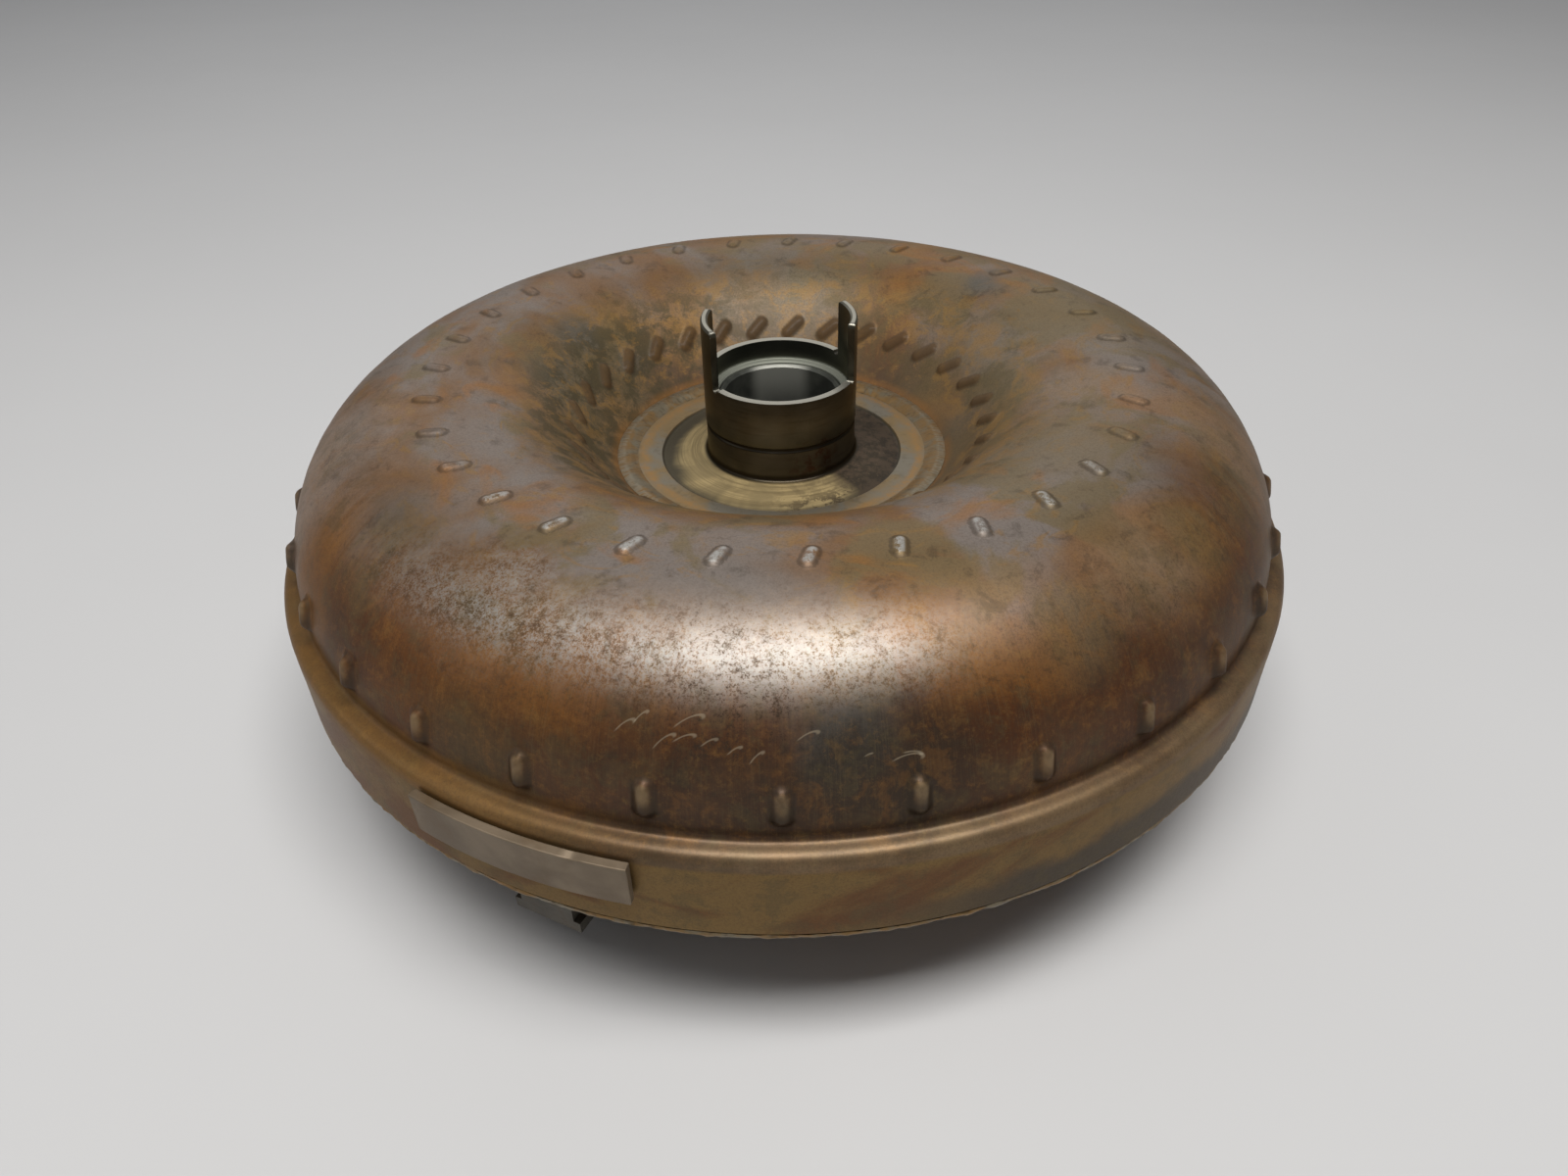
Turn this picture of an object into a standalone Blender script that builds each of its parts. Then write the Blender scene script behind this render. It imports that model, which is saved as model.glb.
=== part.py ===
"""Welded passenger-car torque converter, built as an assembly of its separate pieces.

The frame's origin is the centre of the pilot boss's nose and +Z runs along the common axis towards the
pump hub. Dimensions are named in millimetres and turned into metres where a mesh is made.
"""
from math import cos, pi, radians, sin

import bmesh
import bpy
from mathutils import Matrix, Vector

MM = 0.001
GAP = 0.3  # between pieces that touch

# Facets around the turned pieces
SEGS_HOUSING = 40
SEGS_HUB = 32
SEGS_INNER = 24
SEGS_SMALL = 12

# Heights of the main planes
RIM_BOTTOM_Z = 40.0
TORUS_Z = RIM_BOTTOM_Z + 27.0
CROWN_Z = TORUS_Z + 39.5
COVER_FACE_Z = 21.0
LUG_FACE_Z = 13.0
HUB_RIM_Z = RIM_BOTTOM_Z + 63.7
TANG_TIP_Z = HUB_RIM_Z + 16.1

# Housing
RIM_R = 145.0
BAND_R = 144.8
CROWN_R = 97.5
TORUS_OUTER_R = 139.7
SHELL_T = 3.0
COVER_T = 4.4
COVER_R = 141.3
COVER_WALL_BOTTOM_Z = 43.0
COVER_TOP_Z = 62.1
COVER_FULLNESS = 1.5

# Pump hub
NECK_R = 21.9
NECK_BORE_R = 19.9
HUB_BORE_R = 17.8
BUSHING_BORE_R = 16.1
HUB_LEDGE_Z = HUB_RIM_Z - 5.9
HUB_FLANGE_R = 44.1
HUB_FLANGE_Z = 78.6
RECESS_R = 35.6
HUB_UNDERSIDE_Z = 72.7
TANG_AZIMUTHS = (6.0, 186.0)
TANG_HALF_ANGLE = 25.0

# Lugs and weight
LUG_AZIMUTHS = (-116.8, 3.2, 123.2)
LUG_INNER_R = 109.0
LUG_OUTER_R = 133.0
LUG_HOLE_R = 3.4
LUG_HOLE_CENTRE_R = 119.5
LUG_HOLE_DEPTH = 9.0
LUG_HALF_WIDTH = 7.8
LUG_FOOT_HALF_WIDTH = 9.7
LUG_FOOT_T = 3.4
WEIGHT_AZIMUTHS = (-124.6, -103.1)
WEIGHT_Z = (50.1, 61.7)
WEIGHT_T = 2.4

# Fluid circuit
BLADE_COUNT_IMPELLER = 31
BLADE_COUNT_TURBINE = 29
VANE_COUNT = 19
SPLIT_Z = 66.5
CORE_R = 98.5
CORE_HALF_WIDTH = 15.0
CORE_DEPTH = 13.0
CORE_T = 1.4
BLADE_T = 1.2
TURBINE_TOP_Z = 64.5
TURBINE_OUTER_R = 134.6
TURBINE_CROWN_Z = 29.6
TURBINE_T = 2.0

# Stator and one-way clutch
STATOR_HUB_R = 58.0
STATOR_BORE_R = 40.6
RACE_R = 40.2
RACE_KEY_R = 42.6
RACE_POCKET_R = 32.4
RACE_LUG_R = 26.0
ROLLER_R = 3.4
ROLLER_CENTRE_R = 28.2
ROLLER_COUNT = 8
INNER_RACE_R = 24.2
RACE_Z = (54.2, 64.4)

# Stands a flat outline up on end: its X becomes the tangent, its Y the height and its depth the radius
STAND_UP = Matrix(((0, 0, 1, 0), (1, 0, 0, 0), (0, 1, 0, 0), (0, 0, 0, 1)))

COLLECTION = bpy.data.collections.new("torque_converter")
CUTTERS = bpy.data.collections.new("cutters")

COLOURS = {
    "shell_steel": ((0.23, 0.14, 0.09), 0.45, 0.8),
    "machined_steel": ((0.28, 0.27, 0.25), 0.35, 1.0),
    "weld_bead": ((0.30, 0.29, 0.27), 0.6, 0.8),
    "cover_steel": ((0.20, 0.17, 0.14), 0.5, 0.8),
    "weight_steel": ((0.27, 0.22, 0.17), 0.5, 0.8),
    "bushing_bronze": ((0.45, 0.33, 0.20), 0.35, 1.0),
    "zinc_plated": ((0.45, 0.43, 0.36), 0.4, 1.0),
    "copper": ((0.55, 0.27, 0.15), 0.4, 1.0),
    "blade_steel": ((0.35, 0.34, 0.33), 0.4, 1.0),
    "cast_aluminium": ((0.55, 0.55, 0.56), 0.5, 0.9),
    "bearing_steel": ((0.50, 0.50, 0.52), 0.25, 1.0),
    "spring_steel": ((0.35, 0.36, 0.40), 0.3, 1.0),
    "phenolic": ((0.12, 0.08, 0.05), 0.6, 0.0),
}


# ---------------------------------------------------------------- scene and materials
def clear_scene():
    for item in list(bpy.data.objects):
        bpy.data.objects.remove(item, do_unlink=True)
    bpy.context.scene.collection.children.link(COLLECTION)
    bpy.context.scene.collection.children.link(CUTTERS)


def material(name):
    made = bpy.data.materials.get(name)
    if made is None:
        colour, roughness, metallic = COLOURS[name]
        made = bpy.data.materials.new(name)
        made.use_nodes = True
        shader = made.node_tree.nodes["Principled BSDF"]
        shader.inputs["Base Color"].default_value = (*colour, 1.0)
        shader.inputs["Roughness"].default_value = roughness
        shader.inputs["Metallic"].default_value = metallic
    return made


def add_object(name, mesh, material_name=None, parent=None, smooth_angle=35.0):
    item = bpy.data.objects.new(name, mesh)
    COLLECTION.objects.link(item)
    if material_name:
        mesh.materials.append(material(material_name))
    mesh.shade_smooth()
    mesh.set_sharp_from_angle(angle=radians(smooth_angle))
    item.parent = parent
    return item


def axis_empty(name):
    empty = bpy.data.objects.new(name, None)
    COLLECTION.objects.link(empty)
    return empty


# ---------------------------------------------------------------- outlines in the (radius, height) plane
def ellipse_arc(centre, half_axes, start, end, count, fullness=2.0):
    """Points of a superellipse quadrant arc between two angles in degrees; fullness 2 is a true ellipse."""
    points = []
    for index in range(count + 1):
        angle = radians(start + (end - start) * index / count)
        across, up = cos(angle), sin(angle)
        points.append((
            centre[0] + half_axes[0] * abs(across) ** (2 / fullness) * (1 if across >= 0 else -1),
            centre[1] + half_axes[1] * abs(up) ** (2 / fullness) * (1 if up >= 0 else -1),
        ))
    return points


def bezier(start, start_handle, end_handle, end, count):
    points = []
    for index in range(count + 1):
        t = index / count
        weights = ((1 - t) ** 3, 3 * (1 - t) ** 2 * t, 3 * (1 - t) * t ** 2, t ** 3)
        corners = (start, start_handle, end_handle, end)
        points.append(tuple(sum(w * c[axis] for w, c in zip(weights, corners)) for axis in (0, 1)))
    return points


def offset_right(points, distance):
    """An open outline moved sideways, to the right of its direction of travel."""
    moved = []
    for index, (radius, height) in enumerate(points):
        before = Vector(points[max(index - 1, 0)])
        after = Vector(points[min(index + 1, len(points) - 1)])
        along = (after - before).normalized()
        moved.append((radius + along.y * distance, height - along.x * distance))
    return moved


def circle(radius, count, start=0.0, end=360.0):
    whole = abs(end - start) >= 360.0
    steps = count if whole else count - 1
    angles = (radians(start + (end - start) * index / steps) for index in range(count))
    return [(radius * cos(angle), radius * sin(angle)) for angle in angles]


def toothed_circle(teeth, root_r, tip_r, tip_share=0.4):
    """A closed spline outline: each tooth has a flat root and a flat tip."""
    pitch = 360.0 / teeth
    slope = pitch * 0.12
    tip = pitch * tip_share
    points = []
    for index in range(teeth):
        middle = index * pitch
        for radius, angle in (
            (root_r, middle - tip / 2 - slope), (tip_r, middle - tip / 2),
            (tip_r, middle + tip / 2), (root_r, middle + tip / 2 + slope),
        ):
            points.append((radius * cos(radians(angle)), radius * sin(radians(angle))))
    return points


# ---------------------------------------------------------------- solids
def turned(name, outline, steps, material_name=None, parent=None, on_axis=False):
    """A profile turned about Z. The outline runs down its outer side, top to bottom."""
    mesh = bpy.data.meshes.new(name)
    shape = bmesh.new()
    verts = [shape.verts.new((radius * MM, 0.0, height * MM)) for radius, height in outline]
    for first, second in zip(verts, verts[1:]):
        shape.edges.new((first, second))
    if not on_axis:
        shape.edges.new((verts[-1], verts[0]))
    shape.to_mesh(mesh)
    shape.free()
    item = add_object(name, mesh, material_name, parent)
    screw = item.modifiers.new("turn", "SCREW")
    screw.axis = "Z"
    screw.angle = 2 * pi
    screw.steps = steps
    screw.render_steps = steps
    screw.use_merge_vertices = True
    screw.merge_threshold = 0.00001
    screw.use_smooth_shade = False
    return item


def extruded(name, loops, low, high, material_name=None, parent=None, bake=None):
    """A flat outline with holes, drawn in XY in millimetres and extruded from one height to another."""
    curve = bpy.data.curves.new(name + "_outline", "CURVE")
    curve.dimensions = "2D"
    curve.fill_mode = "BOTH"
    curve.extrude = (high - low) / 2
    for loop in loops:
        spline = curve.splines.new("POLY")
        spline.points.add(len(loop) - 1)
        for point, (x, y) in zip(spline.points, loop):
            point.co = (x, y, 0.0, 1.0)
        spline.use_cyclic_u = True
    drawing = bpy.data.objects.new(name + "_outline", curve)
    CUTTERS.objects.link(drawing)
    bpy.context.view_layer.update()
    evaluated = drawing.evaluated_get(bpy.context.evaluated_depsgraph_get())
    mesh = bpy.data.meshes.new_from_object(evaluated)
    mesh.name = name
    bpy.data.objects.remove(drawing, do_unlink=True)
    shape = bmesh.new()
    shape.from_mesh(mesh)
    bmesh.ops.remove_doubles(shape, verts=shape.verts, dist=0.001)
    bmesh.ops.translate(shape, verts=shape.verts, vec=(0.0, 0.0, (low + high) / 2))
    bmesh.ops.scale(shape, verts=shape.verts, vec=(MM, MM, MM))
    if bake is not None:
        bmesh.ops.transform(shape, verts=shape.verts, matrix=bake)
    bmesh.ops.recalc_face_normals(shape, faces=shape.faces)
    shape.to_mesh(mesh)
    shape.free()
    return add_object(name, mesh, material_name, parent)


def rod(name, radius, low, high, sides, material_name=None, parent=None, chamfer=0.0):
    """An upright cylinder about the object's own Z axis, with an optional chamfer."""
    mesh = bpy.data.meshes.new(name)
    shape = bmesh.new()
    bmesh.ops.create_cone(
        shape, cap_ends=True, segments=sides, radius1=radius * MM, radius2=radius * MM,
        depth=(high - low) * MM, matrix=Matrix.Translation((0.0, 0.0, (low + high) / 2 * MM)))
    shape.to_mesh(mesh)
    shape.free()
    item = add_object(name, mesh, material_name, parent)
    if chamfer:
        bevel = item.modifiers.new("chamfer", "BEVEL")
        bevel.width = chamfer * MM
        bevel.segments = 1
        bevel.limit_method = "ANGLE"
        bevel.angle_limit = radians(60)
    return item


def place(item, radius, azimuth, height=0.0):
    """Stand an object at a polar position, turned to face outwards."""
    angle = radians(azimuth)
    item.location = (radius * cos(angle) * MM, radius * sin(angle) * MM, height * MM)
    item.rotation_euler = (0.0, 0.0, angle)
    return item


def as_tool(item):
    COLLECTION.objects.unlink(item)
    CUTTERS.objects.link(item)
    item.hide_render = True
    item.display_type = "WIRE"
    return item


def combine(item, tool, operation):
    boolean = item.modifiers.new(operation.lower(), "BOOLEAN")
    boolean.operation = operation
    boolean.solver = "EXACT"
    boolean.object = as_tool(tool)


def repeat_around(item, count):
    """Copies of a piece, evenly spaced about the common axis."""
    turner = bpy.data.objects.new(item.name + "_turner", None)
    CUTTERS.objects.link(turner)
    turner.rotation_euler = (0.0, 0.0, 2 * pi / count)
    array = item.modifiers.new("around", "ARRAY")
    array.count = count
    array.use_relative_offset = False
    array.use_object_offset = True
    array.offset_object = turner


def washer(name, inner, outer, low, high, material_name, parent, steps=SEGS_INNER):
    outline = [(inner, high), (outer, high), (outer, low), (inner, low)]
    return turned(name, outline, steps, material_name, parent)


# ---------------------------------------------------------------- shared outlines
def shell_outer_curve():
    """The impeller shell's outside, from the weld seat over the crown to the valley at the rim."""
    seat = (48.6, 79.4)
    funnel = bezier(seat, (61.0, 88.7), (CROWN_R - 31.3, CROWN_Z), (CROWN_R, CROWN_Z), 4)
    half_axes = (TORUS_OUTER_R - CROWN_R, CROWN_Z - TORUS_Z)
    wall = ellipse_arc((CROWN_R, TORUS_Z), half_axes, 90, 0, 6)
    return funnel + wall[1:]


def cover_outer_curve():
    half_axes = (COVER_R - CROWN_R, COVER_WALL_BOTTOM_Z - COVER_FACE_Z)
    corner = ellipse_arc((CROWN_R, COVER_WALL_BOTTOM_Z), half_axes, 0, -90, 5, COVER_FULLNESS)
    return [(COVER_R, COVER_TOP_Z)] + corner


def turbine_outer_curve():
    half_axes = (TURBINE_OUTER_R - CROWN_R, TURBINE_TOP_Z - TURBINE_CROWN_Z)
    wall = ellipse_arc((CROWN_R, TURBINE_TOP_Z), half_axes, 0, -90, 5)
    funnel = bezier((CROWN_R, TURBINE_CROWN_Z), (72.0, TURBINE_CROWN_Z), (62.0, 45.0), (54.0, 46.0), 4)
    return wall + funnel[1:]


def core_curve(side, thickness=0.0, count=4):
    """The core ring's half ellipse; side +1 opens down (impeller), -1 opens up (turbine)."""
    edge = SPLIT_Z + side * 2.0
    half_axes = (CORE_HALF_WIDTH - thickness, CORE_DEPTH - thickness)
    return [(r, edge + side * (z - edge))
            for r, z in ellipse_arc((CORE_R, edge), half_axes, 180, 0, count)]


# ---------------------------------------------------------------- housing
def build_impeller_shell(parent):
    outside = shell_outer_curve()
    inside = offset_right(outside, SHELL_T)
    rim = [
        (140.4, TORUS_Z - 1.4), (142.4, TORUS_Z - 2.1), (144.3, TORUS_Z - 3.6), (RIM_R, TORUS_Z - 6.0),
        (BAND_R, TORUS_Z - 10.0), (BAND_R - 0.2, RIM_BOTTOM_Z),
        (COVER_R + GAP, RIM_BOTTOM_Z), (COVER_R + GAP, COVER_TOP_Z + GAP),
        (TORUS_OUTER_R - SHELL_T, COVER_TOP_Z + GAP),
    ]
    seat = [(HUB_FLANGE_R + GAP, 75.2), (HUB_FLANGE_R + GAP, 78.0), (47.8, 78.2)]
    turned("impeller_shell", seat + outside + rim + inside[::-1], SEGS_HOUSING, "shell_steel", parent)


def sector_prism(name, inner, outer, start, end, low, high, count=8):
    loop = circle(outer, count, start, end) + circle(inner, count, end, start)
    return extruded(name, [loop], low, high)


def build_pump_hub(parent):
    outline = [
        (NECK_BORE_R, TANG_TIP_Z), (NECK_R, TANG_TIP_Z), (NECK_R, 89.6), (NECK_R - 0.25, 88.8),
        (NECK_R - 0.1, 80.3), (NECK_R + 0.8, 79.3), (RECESS_R - 1.0, 77.6), (RECESS_R, HUB_FLANGE_Z - 0.2),
        (HUB_FLANGE_R, HUB_FLANGE_Z), (HUB_FLANGE_R, HUB_UNDERSIDE_Z), (HUB_BORE_R, HUB_UNDERSIDE_Z),
        (HUB_BORE_R, HUB_LEDGE_Z - 0.8), (HUB_BORE_R + 0.4, HUB_LEDGE_Z), (NECK_BORE_R, HUB_LEDGE_Z),
    ]
    hub = turned("pump_hub", outline, SEGS_HUB, "machined_steel", parent)
    first, second = TANG_AZIMUTHS
    for index, (start, end) in enumerate((
        (first + TANG_HALF_ANGLE, second - TANG_HALF_ANGLE),
        (second + TANG_HALF_ANGLE, first + 360.0 - TANG_HALF_ANGLE),
    )):
        gap_cutter = sector_prism(
            f"tang_gap_{index}", NECK_BORE_R - 4, NECK_R + 4, start, end, HUB_RIM_Z, TANG_TIP_Z + 5)
        combine(hub, gap_cutter, "DIFFERENCE")


def build_hub_details(parent):
    weld = [
        (43.2, 79.0), (44.6, 80.1), (46.4, 80.0), (47.7, 79.0), (47.2, 78.7),
    ]
    turned("hub_weld_ring", weld, SEGS_HUB, "weld_bead", parent)
    bushing = [
        (BUSHING_BORE_R + 0.5, HUB_LEDGE_Z - 0.6), (HUB_BORE_R - GAP, HUB_LEDGE_Z - 0.6),
        (HUB_BORE_R - GAP, 80.0), (BUSHING_BORE_R, 80.0), (BUSHING_BORE_R, HUB_LEDGE_Z - 1.2),
    ]
    turned("hub_bushing", bushing, SEGS_HUB, "bushing_bronze", parent)


def drain_hole_places():
    return ((84.0, 62.0), (84.0, 242.0))


def build_front_cover(parent):
    outside = cover_outer_curve()
    inside = offset_right(outside, COVER_T)
    inside[0] = (COVER_R - COVER_T + GAP, COVER_TOP_Z)
    centre_hole_r = 12.3
    hole = [(centre_hole_r, COVER_FACE_Z), (centre_hole_r, COVER_FACE_Z + COVER_T)]
    cover = turned("front_cover", outside + hole + inside[::-1], SEGS_HOUSING, "cover_steel", parent)
    for index, (radius, azimuth) in enumerate(drain_hole_places()):
        drill = rod(f"drain_drill_{index}", 4.4, COVER_FACE_Z - 5, COVER_FACE_Z + 10, SEGS_SMALL)
        combine(cover, place(drill, radius, azimuth), "DIFFERENCE")


def build_rim_weld(parent):
    outline = [(144.3, 39.6), (144.0, 38.4), (142.4, 37.2), (139.6, 37.0), (138.5, 37.7), (140.3, 39.6)]
    turned("rim_weld_ring", outline, SEGS_HOUSING, "weld_bead", parent)


def build_pilot(parent):
    outline = [
        (0.0, COVER_FACE_Z + COVER_T), (12.0, COVER_FACE_Z + COVER_T), (12.0, COVER_FACE_Z - GAP),
        (24.0, COVER_FACE_Z - GAP), (24.0, 14.5), (22.5, 13.0), (17.0, 13.0), (17.5, 11.5), (17.5, 1.5),
        (16.0, 0.0), (3.0, 0.0), (0.0, 3.0),
    ]
    turned("pilot_boss", outline, SEGS_INNER, "machined_steel", parent, on_axis=True)


def build_lugs(parent):
    """Three welded feet with stepped ends, each shaped to the cover and drilled for one flexplate bolt."""
    foot_half, body_half, foot_top = LUG_FOOT_HALF_WIDTH, LUG_HALF_WIDTH, LUG_FACE_Z + LUG_FOOT_T
    block_top = RIM_BOTTOM_Z - 4.0
    loop = [
        (-foot_half, LUG_FACE_Z), (foot_half, LUG_FACE_Z), (foot_half, foot_top), (body_half, foot_top),
        (body_half, block_top), (-body_half, block_top), (-body_half, foot_top), (-foot_half, foot_top),
    ]
    for number, azimuth in enumerate(LUG_AZIMUTHS, start=1):
        lug = extruded(f"mounting_lug_{number}", [loop], LUG_INNER_R, LUG_OUTER_R, "cover_steel", parent,
                       bake=STAND_UP)
        lug.rotation_euler = (0.0, 0.0, radians(azimuth))
        combine(lug, cover_envelope(number), "DIFFERENCE")
        drill = rod(f"lug_drill_{number}", LUG_HOLE_R, LUG_FACE_Z - 5, LUG_FACE_Z + LUG_HOLE_DEPTH,
                    SEGS_SMALL)
        combine(lug, place(drill, LUG_HOLE_CENTRE_R, azimuth), "DIFFERENCE")


def cover_envelope(number):
    """Everything above the cover's outer face, to trim the lugs to it."""
    grown = offset_right(cover_outer_curve(), -GAP)
    outline = [(60.0, 62.0)] + grown + [(60.0, COVER_FACE_Z - GAP)]
    return turned(f"cover_envelope_{number}", outline, SEGS_HOUSING)


def build_balance_weight(parent):
    inner = RIM_R + 0.4
    start, end = WEIGHT_AZIMUTHS
    loop = circle(inner + WEIGHT_T, 6, start, end) + circle(inner, 6, end, start)
    extruded("balance_weight", [loop], *WEIGHT_Z, "weight_steel", parent)


def build_drain_plugs(parent):
    for number, (radius, azimuth) in enumerate(drain_hole_places(), start=1):
        ring = washer(f"drain_plug_washer_{number}", 4.5, 7.6, COVER_FACE_Z - 1.2, COVER_FACE_Z - GAP,
                      "copper", parent, SEGS_SMALL)
        place(ring, radius, azimuth)
        head_top = COVER_FACE_Z - 1.5
        outline = [
            (0.0, 25.2), (4.0, 25.2), (4.0, head_top), (6.5, head_top), (6.5, head_top - 3.6),
            (5.8, head_top - 4.3), (0.0, head_top - 4.3),
        ]
        plug = turned(f"drain_plug_{number}", outline, SEGS_SMALL, "zinc_plated", parent, on_axis=True)
        socket = rod(f"hex_socket_{number}", 3.0, head_top - 8, head_top - 1.5, 6)
        combine(place(plug, radius, azimuth), place(socket, radius, azimuth), "DIFFERENCE")


# ---------------------------------------------------------------- bladed rings
def bladed_ring(name, outside, side, count, inlet, tilt, parent):
    """A half core ring with flat blades between it and the shell's inside; they are welded into one."""
    core_outer = core_curve(side)
    core_inner = core_curve(side, CORE_T)
    loop = core_outer + core_inner[::-1]
    core = turned(name, loop if side > 0 else loop[::-1], SEGS_INNER, "blade_steel", parent)
    seat = core_curve(side, CORE_T / 2, 2)
    foot = SPLIT_Z + side * 3.0
    seat[-1] = (seat[-1][0], foot)
    blade_loop = [inlet] + outside + [(outside[-1][0], foot)] + seat[::-1][:-1]
    blade = extruded(
        name + "_blade", [blade_loop], -BLADE_T / 2, BLADE_T / 2, bake=Matrix.Rotation(pi / 2, 4, "X"))
    pivot = Vector((0.0, 0.0, SPLIT_Z * MM))
    blade.data.transform(
        Matrix.Translation(pivot) @ Matrix.Rotation(radians(tilt), 4, "X") @ Matrix.Translation(-pivot))
    repeat_around(blade, count)
    combine(core, blade, "UNION")
    return core


def build_impeller_blades(parent):
    clearance = SHELL_T + 2.0
    curve = [point for point in offset_right(shell_outer_curve(), clearance) if point[0] > 63.0]
    outside = [(radius, max(height, SPLIT_Z + 3.0)) for radius, height in curve[::2]]
    bladed_ring("impeller_blade_ring", outside, 1, BLADE_COUNT_IMPELLER, (84.5, 78.5), 6.0, parent)


def build_turbine_blades(parent):
    clearance = TURBINE_T + 1.8
    curve = [point for point in offset_right(turbine_outer_curve(), clearance) if point[0] > 66.0]
    outside = [(radius, min(height, SPLIT_Z - 3.0)) for radius, height in curve[::-1][::2]]
    bladed_ring("turbine_blade_ring", outside, -1, BLADE_COUNT_TURBINE, (84.5, 54.5), -6.0, parent)


# ---------------------------------------------------------------- turbine
def build_turbine(parent):
    outside = turbine_outer_curve()
    inside = offset_right(outside, TURBINE_T)
    inside[0] = (TURBINE_OUTER_R - TURBINE_T, TURBINE_TOP_Z)
    flange = [(41.0, 46.0), (41.0, 48.0)]
    shell = turned("turbine_shell", outside + flange + inside[::-1], SEGS_INNER, "blade_steel", parent)
    hub_outline = [
        (12.6, 46.0), (38.5, 46.0), (38.5, 45.7), (52.0, 45.7), (52.0, 41.5), (26.0, 39.0),
        (20.0, 34.0), (20.0, 28.8), (12.6, 28.8),
    ]
    hub = turned("turbine_hub", hub_outline, SEGS_INNER, "machined_steel", parent)
    spline = extruded("turbine_spline", [toothed_circle(16, 12.9, 11.0), circle(15.0, 12)],
                      29.0, 45.8)
    combine(hub, spline, "UNION")
    for number in range(6):
        azimuth = 60.0 * number + 22.5
        for target in (shell, hub):
            drill = rod(f"rivet_drill_{target.name}_{number}", 2.8, 38, 52, 8)
            combine(target, place(drill, 46.0, azimuth), "DIFFERENCE")
        rivet_outline = [
            (0.0, 50.2), (3.8, 49.4), (4.2, 48.3), (2.4, 48.3), (2.4, 40.3), (4.2, 40.3), (3.8, 38.8),
            (0.0, 38.2),
        ]
        rivet = turned(f"turbine_rivet_{number + 1}", rivet_outline, 8, "machined_steel", parent,
                       on_axis=True)
        place(rivet, 46.0, azimuth)


# ---------------------------------------------------------------- stator and one-way clutch
def build_stator_wheel(parent):
    outline = [
        (STATOR_BORE_R, 70.4), (48.0, 70.4), (STATOR_HUB_R, 73.0), (STATOR_HUB_R, 56.0), (50.0, 53.0),
        (STATOR_BORE_R, 53.0),
    ]
    wheel = turned("stator_wheel", outline, SEGS_INNER, "cast_aluminium", parent)
    vane_loop = [(-1.2, -8.6), (1.0, -8.8), (1.6, 0.0), (0.7, 8.8), (-0.7, 8.6), (-0.9, 0.0)]
    pitch = Matrix.Translation((0, 0, 0.0645)) @ Matrix.Rotation(radians(32.0), 4, "X") @ STAND_UP
    vanes = extruded("stator_vanes", [vane_loop], STATOR_HUB_R - 1.0, 79.2, bake=pitch)
    repeat_around(vanes, VANE_COUNT)
    combine(wheel, vanes, "UNION")
    ring = washer("stator_outer_ring", 78.0, 80.6, 58.0, 71.0, None, None)
    combine(wheel, ring, "UNION")
    for index in range(6):
        key_slot = sector_prism(f"race_slot_{index}", STATOR_BORE_R - 3.0, RACE_KEY_R + 0.5,
                                60.0 * index - 5.0, 60.0 * index + 5.0, 50.0, 66.0, 3)
        combine(wheel, key_slot, "DIFFERENCE")
    groove = washer("snap_ring_groove", 38.0, 42.6, 66.2, 67.6, None, None)
    combine(wheel, groove, "DIFFERENCE")


def polar_loop(places):
    return [(radius * cos(radians(angle)), radius * sin(radians(angle))) for radius, angle in places]


def build_clutch(parent):
    pitch = 360.0 / ROLLER_COUNT
    outer_places = []
    for index in range(6):
        middle = 60.0 * index
        outer_places += [
            (RACE_R, middle - 4.4), (RACE_KEY_R, middle - 3.6), (RACE_KEY_R, middle + 3.6),
            (RACE_R, middle + 4.4), (RACE_R, middle + 20.0), (RACE_R, middle + 40.0),
        ]
    pocket_places = []
    for index in range(ROLLER_COUNT):
        start = pitch * index
        pocket_places += [
            (RACE_LUG_R, start - 5.0), (RACE_LUG_R, start + 5.0), (RACE_POCKET_R, start + 6.0),
            (RACE_POCKET_R + 0.6, start + 22.0), (RACE_POCKET_R, start + 39.0),
        ]
    extruded("clutch_outer_race", [polar_loop(outer_places), polar_loop(pocket_places)], *RACE_Z,
             "bearing_steel", parent)
    for index in range(ROLLER_COUNT):
        start = pitch * index
        roller = rod(f"clutch_roller_{index + 1}", ROLLER_R, RACE_Z[0] + 0.4, RACE_Z[1] - 0.4, 10,
                     "bearing_steel", parent)
        place(roller, ROLLER_CENTRE_R, start + 27.0)
        spring = folded_spring(f"clutch_spring_{index + 1}", parent)
        place(spring, ROLLER_CENTRE_R, start + 12.6)
    inner_loop = toothed_circle(18, 17.6, 15.8)
    extruded("stator_inner_race", [circle(INNER_RACE_R, SEGS_INNER), inner_loop], 52.9, 65.8,
             "bearing_steel", parent_of_inner_race())
    washer("clutch_side_plate_lower", 25.4, 40.0, 52.6, 53.8, "machined_steel", parent)
    washer("clutch_side_plate_upper", 25.4, 40.0, 64.8, 66.0, "machined_steel", parent)
    ring_loop = circle(42.0, 20, 8.0, 352.0) + circle(38.6, 20, 352.0, 8.0)
    extruded("snap_ring", [ring_loop], 66.4, 67.3, "spring_steel", parent)


def folded_spring(name, parent):
    """A folded strip that pushes one roller along its ramp."""
    folds, step, half, mitre = 4, 1.1, 1.3, 0.8
    path = [(half * (-1) ** i, (i - folds / 2) * step) for i in range(folds + 1)]
    loop = [(x + mitre, y) for x, y in path] + [(x - mitre, y) for x, y in path[::-1]]
    return extruded(name, [loop], RACE_Z[0] + 1.2, RACE_Z[1] - 1.2, "spring_steel", parent)


def parent_of_inner_race():
    return bpy.data.objects["inner_race_axis"]


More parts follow.
